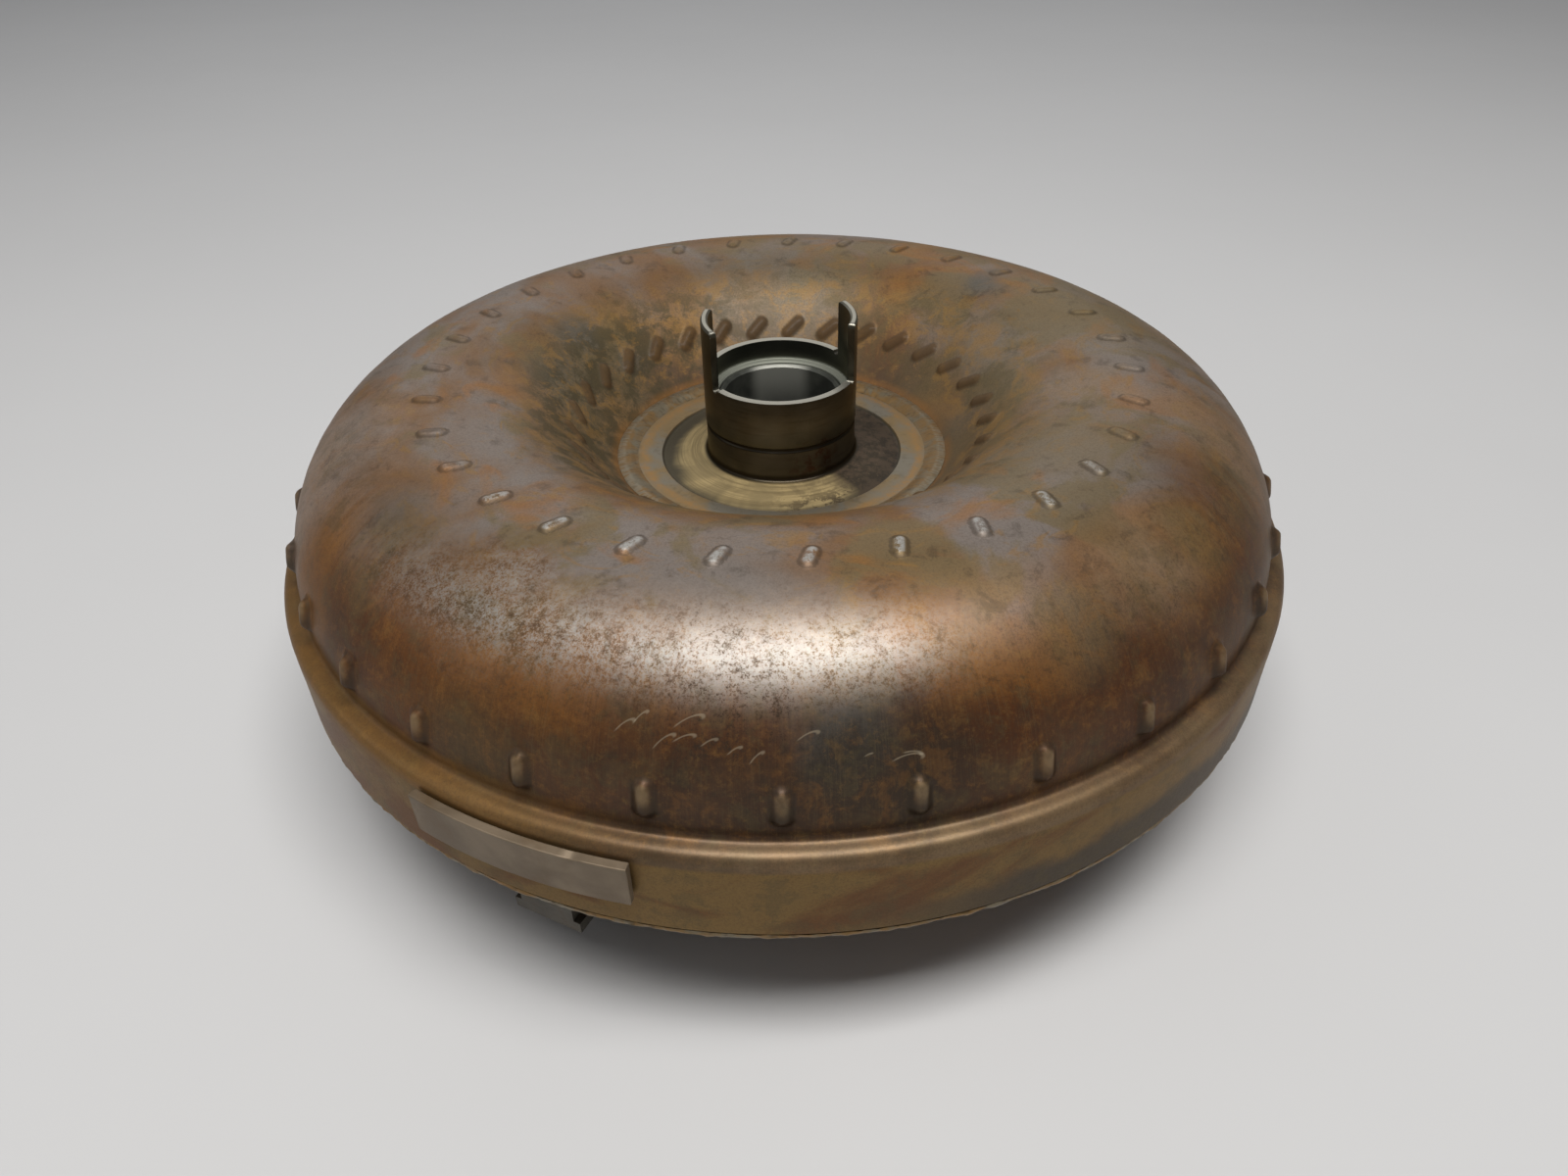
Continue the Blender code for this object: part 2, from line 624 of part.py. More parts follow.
# ---------------------------------------------------------------- thrust bearings
def build_needle_cage(name, low, parent):
    """A flat cage with its needles pressed into it."""
    middle = low + 1.5
    cage = washer(name, 26.5, 36.0, middle - 0.5, middle + 0.5, "bearing_steel", parent)
    needle = rod(name + "_needle", 1.4, 28.0, 34.5, 6)
    needle.data.transform(Matrix.Translation((0, 0, middle * MM)) @ Matrix.Rotation(pi / 2, 4, "Y"))
    repeat_around(needle, 12)
    combine(cage, needle, "UNION")


def build_thrust_parts(housing, turbine, stator, lower_cage, upper_cage):
    washer("cover_thrust_washer", 14.0, 30.0, 25.8, 28.2, "phenolic", housing)
    washer("thrust_race_turbine", 26.0, 37.0, 46.3, 47.3, "bearing_steel", turbine)
    build_needle_cage("needle_cage_lower", 47.8, lower_cage)
    washer("thrust_race_stator_lower", 26.0, 37.0, 51.3, 52.3, "bearing_steel", stator)
    washer("thrust_race_stator_upper", 26.0, 37.0, 66.3, 67.3, "bearing_steel", stator)
    build_needle_cage("needle_cage_upper", 67.8, upper_cage)
    washer("thrust_race_pump", 26.0, 37.0, 71.3, 72.3, "bearing_steel", housing)


def main():
    clear_scene()
    housing = axis_empty("housing_axis")
    turbine = axis_empty("turbine_axis")
    stator = axis_empty("stator_axis")
    axis_empty("inner_race_axis")
    lower_cage = axis_empty("lower_cage_axis")
    upper_cage = axis_empty("upper_cage_axis")
    build_impeller_shell(housing)
    build_pump_hub(housing)
    build_hub_details(housing)
    build_front_cover(housing)
    build_rim_weld(housing)
    build_pilot(housing)
    build_lugs(housing)
    build_balance_weight(housing)
    build_drain_plugs(housing)
    build_impeller_blades(housing)
    build_turbine(turbine)
    build_turbine_blades(turbine)
    build_stator_wheel(stator)
    build_clutch(stator)
    build_thrust_parts(housing, turbine, stator, lower_cage, upper_cage)


main()
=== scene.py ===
"""The finished look of a welded passenger-car torque converter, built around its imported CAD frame.

Lengths are in millimetres and become metres where a mesh is made; limits inside a look's ramps are in metres.
Azimuths are in degrees about +Z: 0 is +X, and -90 faces the camera. Heights and radii come from the frame's
boxes wherever two pieces meet.
"""

from functools import partial, reduce
from math import cos, pi, radians, sin

import bmesh
import bpy
import numpy as np
from mathutils import Matrix, Vector, noise


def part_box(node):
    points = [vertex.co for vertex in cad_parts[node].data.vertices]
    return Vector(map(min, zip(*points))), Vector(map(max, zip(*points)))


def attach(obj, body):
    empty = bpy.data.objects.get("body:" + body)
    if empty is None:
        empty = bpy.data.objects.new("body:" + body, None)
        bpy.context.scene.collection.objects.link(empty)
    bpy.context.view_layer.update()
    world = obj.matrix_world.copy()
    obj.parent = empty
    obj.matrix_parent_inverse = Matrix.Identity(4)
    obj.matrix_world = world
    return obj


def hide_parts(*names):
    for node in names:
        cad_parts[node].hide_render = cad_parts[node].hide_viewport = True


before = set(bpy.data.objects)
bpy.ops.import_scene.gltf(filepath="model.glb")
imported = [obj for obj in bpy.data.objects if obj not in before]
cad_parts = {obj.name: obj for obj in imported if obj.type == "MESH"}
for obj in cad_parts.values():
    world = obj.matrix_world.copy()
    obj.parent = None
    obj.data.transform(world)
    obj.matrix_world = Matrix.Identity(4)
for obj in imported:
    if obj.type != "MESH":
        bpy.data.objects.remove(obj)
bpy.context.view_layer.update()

MM = 0.001


def low(node):
    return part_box(node)[0].z / MM


def high(node):
    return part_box(node)[1].z / MM


def reach(node):
    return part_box(node)[1].x / MM


# Planes and radii of the housing
RIM_BOTTOM = low("impeller_shell")
CROWN = high("impeller_shell")
TORUS = CROWN - 39.5
RIM_R = reach("impeller_shell")
CROWN_R = 97.5
TORUS_R = 139.7
SHELL_T = 3.0
COVER_FACE = low("front_cover")
COVER_TOP = high("front_cover")
COVER_R = reach("front_cover")
COVER_T = 4.4
TANG_TIP = high("pump_hub")
HUB_UNDERSIDE = low("pump_hub")
HUB_RIM = TANG_TIP - 16.1
FLANGE = 78.6
FLANGE_R = reach("pump_hub")
NECK_R, NECK_BORE_R, HUB_BORE_R, BUSHING_BORE_R = 21.9, 19.9, 17.8, 16.1
ROOT_RELIEF_R = 1.15
RECESS_R = 35.6
TANG_AZIMUTHS = (6.0, 186.0)
TANG_HALF_ANGLE = 25.0
DRAIN_R, DRAIN_AZIMUTHS = 84.0, (62.0, 242.0)
WEIGHT_AZIMUTHS = (-124.6, -103.1)
NICK_AZIMUTH, NICK_HALF_ANGLE, NICK_DEPTH = -108.0, 0.9, 0.9
SLOPE_OF_WALL = 57.0
BLADES = 31

# Edges sharper than this many degrees stay sharp in the shading; the beads' rough surface takes more
SHARP_ANGLE, BEAD_SHARP_ANGLE = 35.0, 60.0

# The shell's grid: columns in each blade pitch, half a mark's band, and steps along the profile
COLUMNS_PER_BLADE = 32
MARK_BAND, MARK_STEP, BEAD_BAND, BEAD_STEP, COARSE_STEP = 6.6, 0.8, (-1, 8), 0.55, 4.2
# The pressing's slight unevenness: its height and size, and the columns that one sample of it spans
WAVE_HEIGHT, WAVE_SIZE, WAVE_SPAN = 0.1, 26.0, 8

# The camera's place in metres and its turns in degrees, then its lens and sensor in millimetres
CAMERA_PLACE = (0.0, -0.29071, 0.2422)
CAMERA_YAW, CAMERA_PITCH, CAMERA_ROLL = 0.008, -36.677, -1.128
CAMERA_LENS, CAMERA_SENSOR = 25.377, 36.0

# The lights: name, place, width and depth in metres, power in watts and colour; all aim at the object
LIGHT_AIM = (0.0, 0.0, 0.08)
LIGHTS = (
    ("key_overhead", (0.06, -0.38, 1.45), 1.2, 0.55, 26.0, (1.0, 0.985, 0.96)),
    ("fill_back", (-0.2, 1.9, 1.1), 2.4, 1.0, 6.5, (0.96, 0.98, 1.0)),
    ("fill_left", (-1.6, -0.3, 0.9), 1.2, 1.0, 2.8, (1.0, 1.0, 1.0)),
)
# The surround's brightness at each share of the way from the horizon to overhead, and its blue tinge
SURROUND = ((0.0, 0.3), (0.22, 0.24), (0.42, 0.085), (0.72, 0.075), (0.9, 0.2), (1.0, 0.32))
SURROUND_BLUE = 1.01

# Rings of raised marks: radius, height above the torus plane, phase, length, width, slant and rise of each mark
MARK_RINGS = (
    (139.3, 7.6, 199.78, 10.4, 5.8, 0.0, 2.2),
    (97.6, 39.5, 180.41, 8.8, 4.8, 20.0, 0.9),
    (59.9, 23.6, 201.64, 10.2, 4.8, 43.0, 0.9),
)


# ---- outlines in the (radius, height) plane
def arc(centre, half_axes, start, end, count, fullness=2.0):
    """Points of a superellipse arc between two angles in degrees; fullness 2 is a true ellipse."""
    angles = np.radians(np.linspace(start, end, count + 1))
    across, up = np.cos(angles), np.sin(angles)
    radius = centre[0] + half_axes[0] * np.abs(across) ** (2 / fullness) * np.sign(np.round(across, 9))
    height = centre[1] + half_axes[1] * np.abs(up) ** (2 / fullness) * np.sign(np.round(up, 9))
    return list(zip(radius, height))


def bezier(start, start_handle, end_handle, end, count):
    t = np.linspace(0, 1, count + 1)[:, None]
    corners = [np.array(point) for point in (start, start_handle, end_handle, end)]
    weights = ((1 - t) ** 3, 3 * (1 - t) ** 2 * t, 3 * (1 - t) * t ** 2, t ** 3)
    return [tuple(point) for point in sum(w * c for w, c in zip(weights, corners))]


def lengths_along(outline):
    steps = np.hypot(*np.diff(np.array(outline), axis=0).T)
    return np.concatenate([[0.0], np.cumsum(steps)])


def resampled(outline, stations):
    points, along = np.array(outline), lengths_along(outline)
    return np.stack([np.interp(stations, along, points[:, axis]) for axis in (0, 1)], axis=1)


def left_normals(points):
    along = np.gradient(points, axis=0)
    along /= np.linalg.norm(along, axis=1)[:, None]
    return np.stack([-along[:, 1], along[:, 0]], axis=1)


def smooth(value):
    share = np.clip(value, 0.0, 1.0)
    return share * share * (3 - 2 * share)


# ---- meshes
def linked(name, data):
    thing = bpy.data.objects.new(name, data)
    bpy.context.scene.collection.objects.link(thing)
    return thing


def finish_mesh(name, mesh, angle=SHARP_ANGLE):
    """A new object with this mesh, smooth apart from edges sharper than the angle."""
    mesh.shade_smooth()
    mesh.set_sharp_from_angle(angle=radians(angle))
    return linked(name, mesh)


def ring_skin(name, radii, heights, angle=SHARP_ANGLE):
    """A closed ring from a grid: rows run round the closed outline, and columns once round the axis."""
    rows, columns = radii.shape
    azimuths = np.arange(columns) * 2 * pi / columns
    points = np.stack([radii * np.cos(azimuths), radii * np.sin(azimuths), heights], axis=2) * MM
    row, column = np.meshgrid(np.arange(rows), np.arange(columns), indexing="ij")
    next_row, next_column = (row + 1) % rows, (column + 1) % columns
    faces = np.stack([
        row * columns + column, next_row * columns + column,
        next_row * columns + next_column, row * columns + next_column], axis=2)
    mesh = bpy.data.meshes.new(name)
    mesh.from_pydata(points.reshape(-1, 3), [], faces.reshape(-1, 4))
    mesh.validate()
    return finish_mesh(name, mesh, angle)


def finish_shape(name, shape, angle=SHARP_ANGLE):
    """A new object from a closed bmesh, with its faces turned outwards; the bmesh is freed."""
    bmesh.ops.recalc_face_normals(shape, faces=shape.faces)
    mesh = bpy.data.meshes.new(name)
    shape.to_mesh(mesh)
    shape.free()
    return finish_mesh(name, mesh, angle)


def turned(name, outline, segments):
    """A closed outline, which runs clockwise from its inner top, turned about the axis."""
    points = np.array(outline)
    grid = np.repeat(points[:, :, None], segments, axis=2)
    return ring_skin(name, grid[:, 0], grid[:, 1])


def turned_solid(name, outline, segments):
    """A turned piece whose outline starts and ends on the axis."""
    shape = bmesh.new()
    verts = [shape.verts.new((radius * MM, 0.0, height * MM)) for radius, height in outline]
    edges = [shape.edges.new(pair) for pair in zip(verts, verts[1:])]
    bmesh.ops.spin(shape, geom=verts + edges, axis=(0, 0, 1), cent=(0, 0, 0), angle=2 * pi, steps=segments)
    bmesh.ops.remove_doubles(shape, verts=shape.verts, dist=0.000001)
    return finish_shape(name, shape)


def extruded(name, loop, bottom, top, matrix=None):
    """A flat outline in millimetres, extruded upwards between two heights."""
    shape = bmesh.new()
    base = shape.faces.new([shape.verts.new((x * MM, y * MM, bottom * MM)) for x, y in loop])
    lifted = bmesh.ops.extrude_face_region(shape, geom=[base])["geom"]
    moved = [item for item in lifted if isinstance(item, bmesh.types.BMVert)]
    bmesh.ops.translate(shape, verts=moved, vec=(0, 0, (top - bottom) * MM))
    if matrix is not None:
        bmesh.ops.transform(shape, verts=shape.verts, matrix=matrix)
    return finish_shape(name, shape)


def polar(radius, azimuth):
    return radius * cos(radians(azimuth)), radius * sin(radians(azimuth))


def polar_run(radius, start, end, count):
    return [polar(radius, azimuth) for azimuth in np.linspace(start, end, count + 1)]


def bevelled(piece, width, segments, angle):
    """Eased edges: the width is in millimetres, and only edges sharper than the angle are eased."""
    bevel = piece.modifiers.new("edges", "BEVEL")
    bevel.width = width * MM
    bevel.segments = segments
    bevel.limit_method = "ANGLE"
    bevel.angle_limit = radians(angle)
    bevel.harden_normals = True
    return piece


def cut(piece, *tools):
    """Take the tools out of the piece, keep the result as its mesh, and remove the tools."""
    for tool in tools:
        boolean = piece.modifiers.new("cut", "BOOLEAN")
        boolean.operation = "DIFFERENCE"
        boolean.solver = "EXACT"
        boolean.object = tool
    bpy.context.view_layer.update()
    evaluated = piece.evaluated_get(bpy.context.evaluated_depsgraph_get())
    mesh = bpy.data.meshes.new_from_object(evaluated)
    mesh.name = piece.name
    piece.modifiers.clear()
    piece.data = mesh
    mesh.shade_smooth()
    mesh.set_sharp_from_angle(angle=radians(SHARP_ANGLE))
    for tool in tools:
        bpy.data.objects.remove(tool, do_unlink=True)


def placed(piece, radius, azimuth):
    """Move a piece made on the axis out to a polar place, in its mesh."""
    x, y = polar(radius, azimuth)
    turn = Matrix.Translation((x * MM, y * MM, 0.0)) @ Matrix.Rotation(radians(azimuth), 4, "Z")
    piece.data.transform(turn)
    return piece


def rough_ring(name, outline, segments, size, amount, seed):
    """A turned bead whose surface is uneven; the lump size and height are in millimetres."""
    points = np.array(outline)
    normals = left_normals(np.vstack([points[-1:], points, points[:1]]))[1:-1]
    azimuths = np.arange(segments) * 2 * pi / segments
    lumps = np.array([[
        noise.fractal(Vector((r * cos(a), r * sin(a), z + seed * 40.0)) / size, 0.6, 2.0, 3)
        for a in azimuths] for r, z in points])
    return ring_skin(
        name, points[:, :1] + normals[:, :1] * lumps * amount,
        points[:, 1:] + normals[:, 1:] * lumps * amount, BEAD_SHARP_ANGLE)


# ---- node trees
class Look:
    """A procedural material, with short ways of adding nodes to its tree. Values are floats or sockets."""

    def __init__(self, name):
        self.material = bpy.data.materials.new(name)
        self.material.use_nodes = True
        self.nodes = self.material.node_tree.nodes
        self.links = self.material.node_tree.links
        self.shader = self.nodes["Principled BSDF"]
        self.place = self.nodes.new("ShaderNodeTexCoord").outputs["Object"]
        split = self.nodes.new("ShaderNodeSeparateXYZ")
        self.links.new(self.place, split.inputs[0])
        x, y, self.z = split.outputs
        squares = self.add(self.times(x, x), self.times(y, y))
        self.radius = self.math("MAXIMUM", self.math("SQRT", squares), 0.0001)
        self.cosine = self.math("DIVIDE", x, self.radius)
        self.sine = self.math("DIVIDE", y, self.radius)

    def put(self, socket, value):
        if isinstance(value, bpy.types.NodeSocket):
            self.links.new(value, socket)
        else:
            socket.default_value = value

    def math(self, operation, first, second=0.0):
        node = self.nodes.new("ShaderNodeMath")
        node.operation = operation
        for socket, value in zip(node.inputs, (first, second)):
            self.put(socket, value)
        return node.outputs[0]

    def add(self, *values):
        return reduce(partial(self.math, "ADD"), values)

    def minus(self, first, second):
        return self.math("SUBTRACT", first, second)

    def times(self, *values):
        return reduce(partial(self.math, "MULTIPLY"), values)

    def ramp(self, value, start, end, first=0.0, last=1.0):
        """Smoothly from first to last while the value goes from start to end."""
        node = self.nodes.new("ShaderNodeMapRange")
        node.interpolation_type = "SMOOTHSTEP"
        for socket, item in zip(node.inputs, (value, start, end, first, last)):
            self.put(socket, item)
        return node.outputs[0]

    def between(self, value, start, end, soft):
        """1 from start to end, fading out over a soft distance on both sides."""
        rise = self.ramp(value, start - soft, start + soft)
        return self.times(rise, self.ramp(value, end - soft, end + soft, 1.0, 0.0))

    def mix(self, share, first, second):
        """A tone between two, each a socket, three numbers or a name in TONES."""
        node = self.nodes.new("ShaderNodeMix")
        node.data_type = "RGBA"
        self.put(node.inputs[0], share)
        for socket, tone in zip(node.inputs[6:8], (first, second)):
            tone = TONES[tone] if isinstance(tone, str) else tone
            self.put(socket, (*tone, 1.0) if isinstance(tone, tuple) else tone)
        return node.outputs[2]

    def layered(self, colour, *layers):
        """Tones laid over a colour in turn: each layer is a tone and the shares whose product covers with it."""
        for tone, *shares in layers:
            colour = self.mix(self.times(*shares), colour, tone)
        return colour

    def noise(self, scale, vector=None, detail=4, roughness=0.55, distortion=0.0):
        node = self.nodes.new("ShaderNodeTexNoise")
        self.put(node.inputs["Vector"], self.place if vector is None else vector)
        for name, value in (("Scale", scale), ("Detail", detail), ("Roughness", roughness),
                            ("Distortion", distortion)):
            node.inputs[name].default_value = value
        return node.outputs["Fac"]

    def round_noise(self, around, along, down=None, **settings):
        """A noise that follows the turned form, with a scale each around the axis, along the radius and down."""
        node = self.nodes.new("ShaderNodeCombineXYZ")
        profile = self.add(self.times(self.radius, along), self.times(self.z, along if down is None else down))
        sides = self.times(self.cosine, around), self.times(self.sine, around)
        for socket, value in zip(node.inputs, (*sides, profile)):
            self.put(socket, value)
        return self.noise(1.0, node.outputs[0], **settings)

    def cells(self, scale):
        node = self.nodes.new("ShaderNodeTexVoronoi")
        self.put(node.inputs["Vector"], self.place)
        node.inputs["Scale"].default_value = scale
        return node.outputs["Distance"]

    def vector_math(self, operation, first, second):
        node = self.nodes.new("ShaderNodeVectorMath")
        node.operation = operation
        self.put(node.inputs[0], first)
        self.put(node.inputs[1], second)
        return node.outputs["Vector" if operation == "SUBTRACT" else "Value"]

    def blob(self, radius, azimuth, height, size, soft, ragged):
        """A round patch about a point of the surface, in millimetres, its edge broken up by a noise."""
        centre = Vector((*polar(radius, azimuth), height)) * MM
        distance = self.vector_math("DISTANCE", self.place, tuple(centre))
        wander = self.times(self.minus(ragged, 0.5), size * 3.0 * MM)
        return self.ramp(self.add(distance, wander), (size - soft) * MM, (size + soft) * MM, 1.0, 0.0)

    def surface(self, colour, metallic, roughness):
        for name, value in (("Base Color", colour), ("Metallic", metallic), ("Roughness", roughness)):
            self.put(self.shader.inputs[name], value)

    def attribute(self, name):
        node = self.nodes.new("ShaderNodeAttribute")
        node.attribute_name = name
        return node.outputs["Fac"]

    def normal_up(self):
        """How far the surface faces upwards, from -1 to 1."""
        split = self.nodes.new("ShaderNodeSeparateXYZ")
        self.links.new(self.place.node.outputs["Normal"], split.inputs[0])
        return split.outputs["Z"]

    def gloss(self, weight, roughness):
        """A thin clear film, such as oil or oxide, over the metal."""
        self.shader.inputs["Coat Weight"].default_value = weight
        self.shader.inputs["Coat Roughness"].default_value = roughness

    def edges(self, level, tint):
        """How strongly, and in what tone, the surface mirrors its surroundings at a grazing angle."""
        self.shader.inputs["Specular IOR Level"].default_value = level
        self.shader.inputs["Specular Tint"].default_value = (*tint, 1.0)

    def relief(self, *layers):
        """Bumps on top of each other: each layer is a height socket, its strength and its depth in mm."""
        normal = None
        for height, strength, depth in layers:
            bump = self.nodes.new("ShaderNodeBump")
            self.put(bump.inputs["Strength"], strength)
            bump.inputs["Distance"].default_value = depth * MM
            self.links.new(height, bump.inputs["Height"])
            if normal is not None:
                self.links.new(normal, bump.inputs["Normal"])
            normal = bump.outputs["Normal"]
        self.links.new(normal, self.shader.inputs["Normal"])


# ---- materials
# Tones in thousandths of linear red, green and blue
TONES = {
    # the shell
    "purple": (215, 182, 160), "brown": (200, 108, 50), "umber": (130, 60, 24), "olive": (175, 132, 68),
    "olive_dark": (92, 72, 36), "rust": (290, 125, 30), "ochre": (270, 150, 45), "maroon": (90, 29, 10),
    "blue_grey": (105, 103, 94), "tan": (235, 165, 92), "scratch": (400, 330, 230), "bare": (390, 385, 365),
    # a dark tone for real flecks and pits, also used as painted shade low on the walls and under the marks
    "soot": (40, 30, 22), "khaki": (165, 142, 102), "pale": (350, 295, 255), "fawn": (320, 225, 145),
    "grime": (52, 44, 24), "mark_shade": (60, 33, 14), "band_olive": (185, 115, 42), "band_grey": (68, 56, 41),
    # the hub's neck
    "neck_dark": (85, 78, 57), "neck_light": (122, 113, 85), "neck_ring": (55, 46, 32), "neck_sheen": (210, 188, 145),
    "neck_foot": (45, 33, 22), "neck_rust": (60, 26, 16), "groove": (15, 12, 9), "counterbore": (75, 80, 66),
    "ledge": (245, 255, 215), "ground": (450, 430, 375), "corner": (22, 17, 11),
    # the hub's recess and flange
    "sheet_light": (360, 275, 135), "sheet_dark": (220, 165, 80), "sheet_cloud": (150, 115, 60),
    "sheet_edge": (55, 46, 30), "stain_dark": (18, 13, 9), "stain_light": (58, 38, 26), "stain_speck": (190, 140, 85),
    "spot": (40, 28, 18), "flange_grey": (200, 178, 140), "flange_tan": (235, 165, 85), "flange_dark": (110, 85, 50),
    "flange_heat": (310, 180, 70),
    # bushing, welds and floor
    "oil_dark": (40, 42, 36), "oil_light": (78, 81, 68), "oil_stripe": (300, 300, 265), "weld_grey": (190, 158, 105),
    "weld_rust": (225, 135, 52), "weld_dark": (85, 62, 38), "weld_toe": (320, 280, 210),
    "floor_dark": (500, 500, 505), "floor_light": (540, 540, 545),
}
TONES = {name: tuple(channel / 1000 for channel in tone) for name, tone in TONES.items()}

# Where the shell's tone changes: tone, radius, azimuth, height, size and strength; a later patch lies over an earlier
# The dark patches low on the front wall are painted shade, and the maroon ones on the lower walls are partly painted
# shade; the pale and fawn patches on the crown's sides are painted light, and the purple one right of the front
# shoulder is partly a painted highlight
SHELL_PATCHES = (
    ("khaki", 72, 90, 99, 24, 0.6), ("olive_dark", 66, 165, 95, 20, 0.5), ("ochre", 71, 139, 100, 10, 0.45),
    ("ochre", 60, 122, 91, 8, 0.35), ("rust", 72, -178, 100, 9, 0.5), ("rust", 131, -118, 92, 12, 0.5),
    ("rust", 136, -128, 84, 12, 0.4), ("rust", 124, -150, 97, 12, 0.4), ("ochre", 111, 62, 104, 11, 0.5),
    ("rust", 76, 56, 102, 6, 0.45), ("ochre", 104, 98, 106, 10, 0.35), ("ochre", 86, -11, 106, 8, 0.35),
    ("rust", 52, 20, 82, 8, 0.4), ("rust", 52, 165, 82, 8, 0.4), ("blue_grey", 69, 150, 99, 6, 0.8),
    ("blue_grey", 60, 144, 91, 6, 0.8), ("blue_grey", 87, 41, 105, 7, 0.8), ("blue_grey", 66, 172, 96, 12, 0.6),
    ("blue_grey", 115, -141, 102, 9, 0.3), ("blue_grey", 134, -85, 87, 9, 0.9), ("maroon", 119, -29, 101, 12, 0.4),
    ("maroon", 137, -130, 81, 18, 0.5), ("maroon", 133, -60, 88, 18, 0.5), ("maroon", 135, -72, 85, 13, 0.8),
    ("soot", 138, -84, 77, 13, 0.8), ("olive", 127, -61, 95, 9, 0.5), ("rust", 129, -66, 92, 7, 0.4),
    ("purple", 121, -71, 100, 8, 0.35), ("soot", 138, -76, 78, 13, 0.65), ("rust", 126, -72, 95, 8, 0.5),
    ("soot", 139, -95, 74, 13, 0.3), ("rust", 129, -164, 93, 12, 0.5), ("rust", 137, -150, 80, 14, 0.45),
    ("ochre", 126, -40, 96, 9, 0.35), ("rust", 130, -110, 92, 10, 0.35), ("olive", 84, -35, 105, 16, 0.6),
    ("olive", 105, 20, 106, 26, 0.55), ("purple", 131, 160, 92, 22, 0.5), ("umber", 134, -15, 87, 18, 0.4),
    ("fawn", 123, -48, 98, 12, 0.55), ("fawn", 123, -18, 98, 18, 0.5), ("pale", 126, -165, 96, 20, 0.65),
    ("maroon", 137, -117, 80, 11, 0.5), ("purple", 118, 80, 101, 18, 0.4), ("olive_dark", 139, -118, 74, 12, 0.5),
)

# Hooked dents in the front wall: radius, azimuth, height, half length and turn of the stroke
DENTS = (
    (133.3, -104.2, 87.8, 2.6, 42), (132.1, -102.8, 89.6, 2.1, 51), (132.1, -98.6, 89.6, 3.6, 31),
    (134.5, -100.6, 85.9, 2.9, 42), (134.0, -98.9, 86.9, 2.6, 26), (134.2, -96.7, 86.6, 1.9, 32),
    (134.9, -94.5, 85.4, 1.7, 35), (135.5, -92.6, 84.1, 1.9, 45), (133.4, -88.3, 87.8, 2.5, 26),
    (135.6, -83.2, 84.0, 0.7, 23), (136.5, -80.0, 82.0, 3.6, 9), (136.0, -79.5, 83.1, 2.1, -2),
)
DENT_SLIMNESS = 0.3


def worked_metal(name, dark, light, roughness, metallic=1.0, patch=60.0, lathe=0.0, pits=0.0, grit=0.0, tint=None):
    """A metal with cloudy tone, turning marks about the axis, pits and fine grit."""
    look = Look(name)
    clouds = look.noise(patch, detail=6, distortion=0.4)
    colour = look.mix(look.ramp(clouds, 0.32, 0.68), dark, light)
    lines = look.round_noise(3.0, 9000.0, 7000.0, detail=3)
    specks = look.noise(1500.0, detail=3, roughness=0.7)
    if tint is not None:
        stain = look.ramp(look.noise(patch * 0.6, detail=7, distortion=1.0), 0.52, 0.68)
        colour = look.mix(stain, colour, tint)
    layers = [(specks, 0.25 + grit, 0.05)]
    if lathe:
        layers.append((lines, lathe, 0.05))
    if pits:
        hollow = look.ramp(look.cells(420.0), 0.05, 0.28)
        pit_tone = tuple(channel * 0.35 for channel in dark)
        colour = look.layered(colour, (pit_tone, look.minus(1.0, hollow), pits))
        layers.append((hollow, pits, 0.08))
    look.surface(colour, metallic, look.add(roughness - 0.1, look.times(clouds, 0.14), look.times(specks, 0.1)))
    look.relief(*layers)
    return look.material


def dent(look, radius, azimuth, height, half_length, turn):
    """A narrow hooked groove: the upper side and the right tip of a slim ellipse drawn on the wall."""
    angle, rise = radians(azimuth), radians(SLOPE_OF_WALL)
    around = Vector((-sin(angle), cos(angle), 0.0))
    up = Vector((-sin(rise) * cos(angle), -sin(rise) * sin(angle), cos(rise)))
    tilt = radians(turn)
    half_width = half_length * DENT_SLIMNESS
    offset = look.vector_math("SUBTRACT", look.place, tuple(Vector((*polar(radius, azimuth), height)) * MM))
    forward = look.vector_math("DOT_PRODUCT", offset, tuple((around * cos(tilt) + up * sin(tilt)) / MM))
    sideways = look.vector_math("DOT_PRODUCT", offset, tuple((up * cos(tilt) - around * sin(tilt)) / MM))
    along, aside = look.times(forward, 1 / half_length), look.times(sideways, 1 / half_width)
    out = look.math("SQRT", look.add(look.times(along, along), look.times(aside, aside)))
    gap = look.times(look.math("ABSOLUTE", look.minus(out, 1.0)), half_width)
    return look.times(look.ramp(gap, 0.05, 0.2, 1.0, 0.0),
                      look.ramp(look.add(aside, look.times(along, 0.7)), 0.0, 0.6))


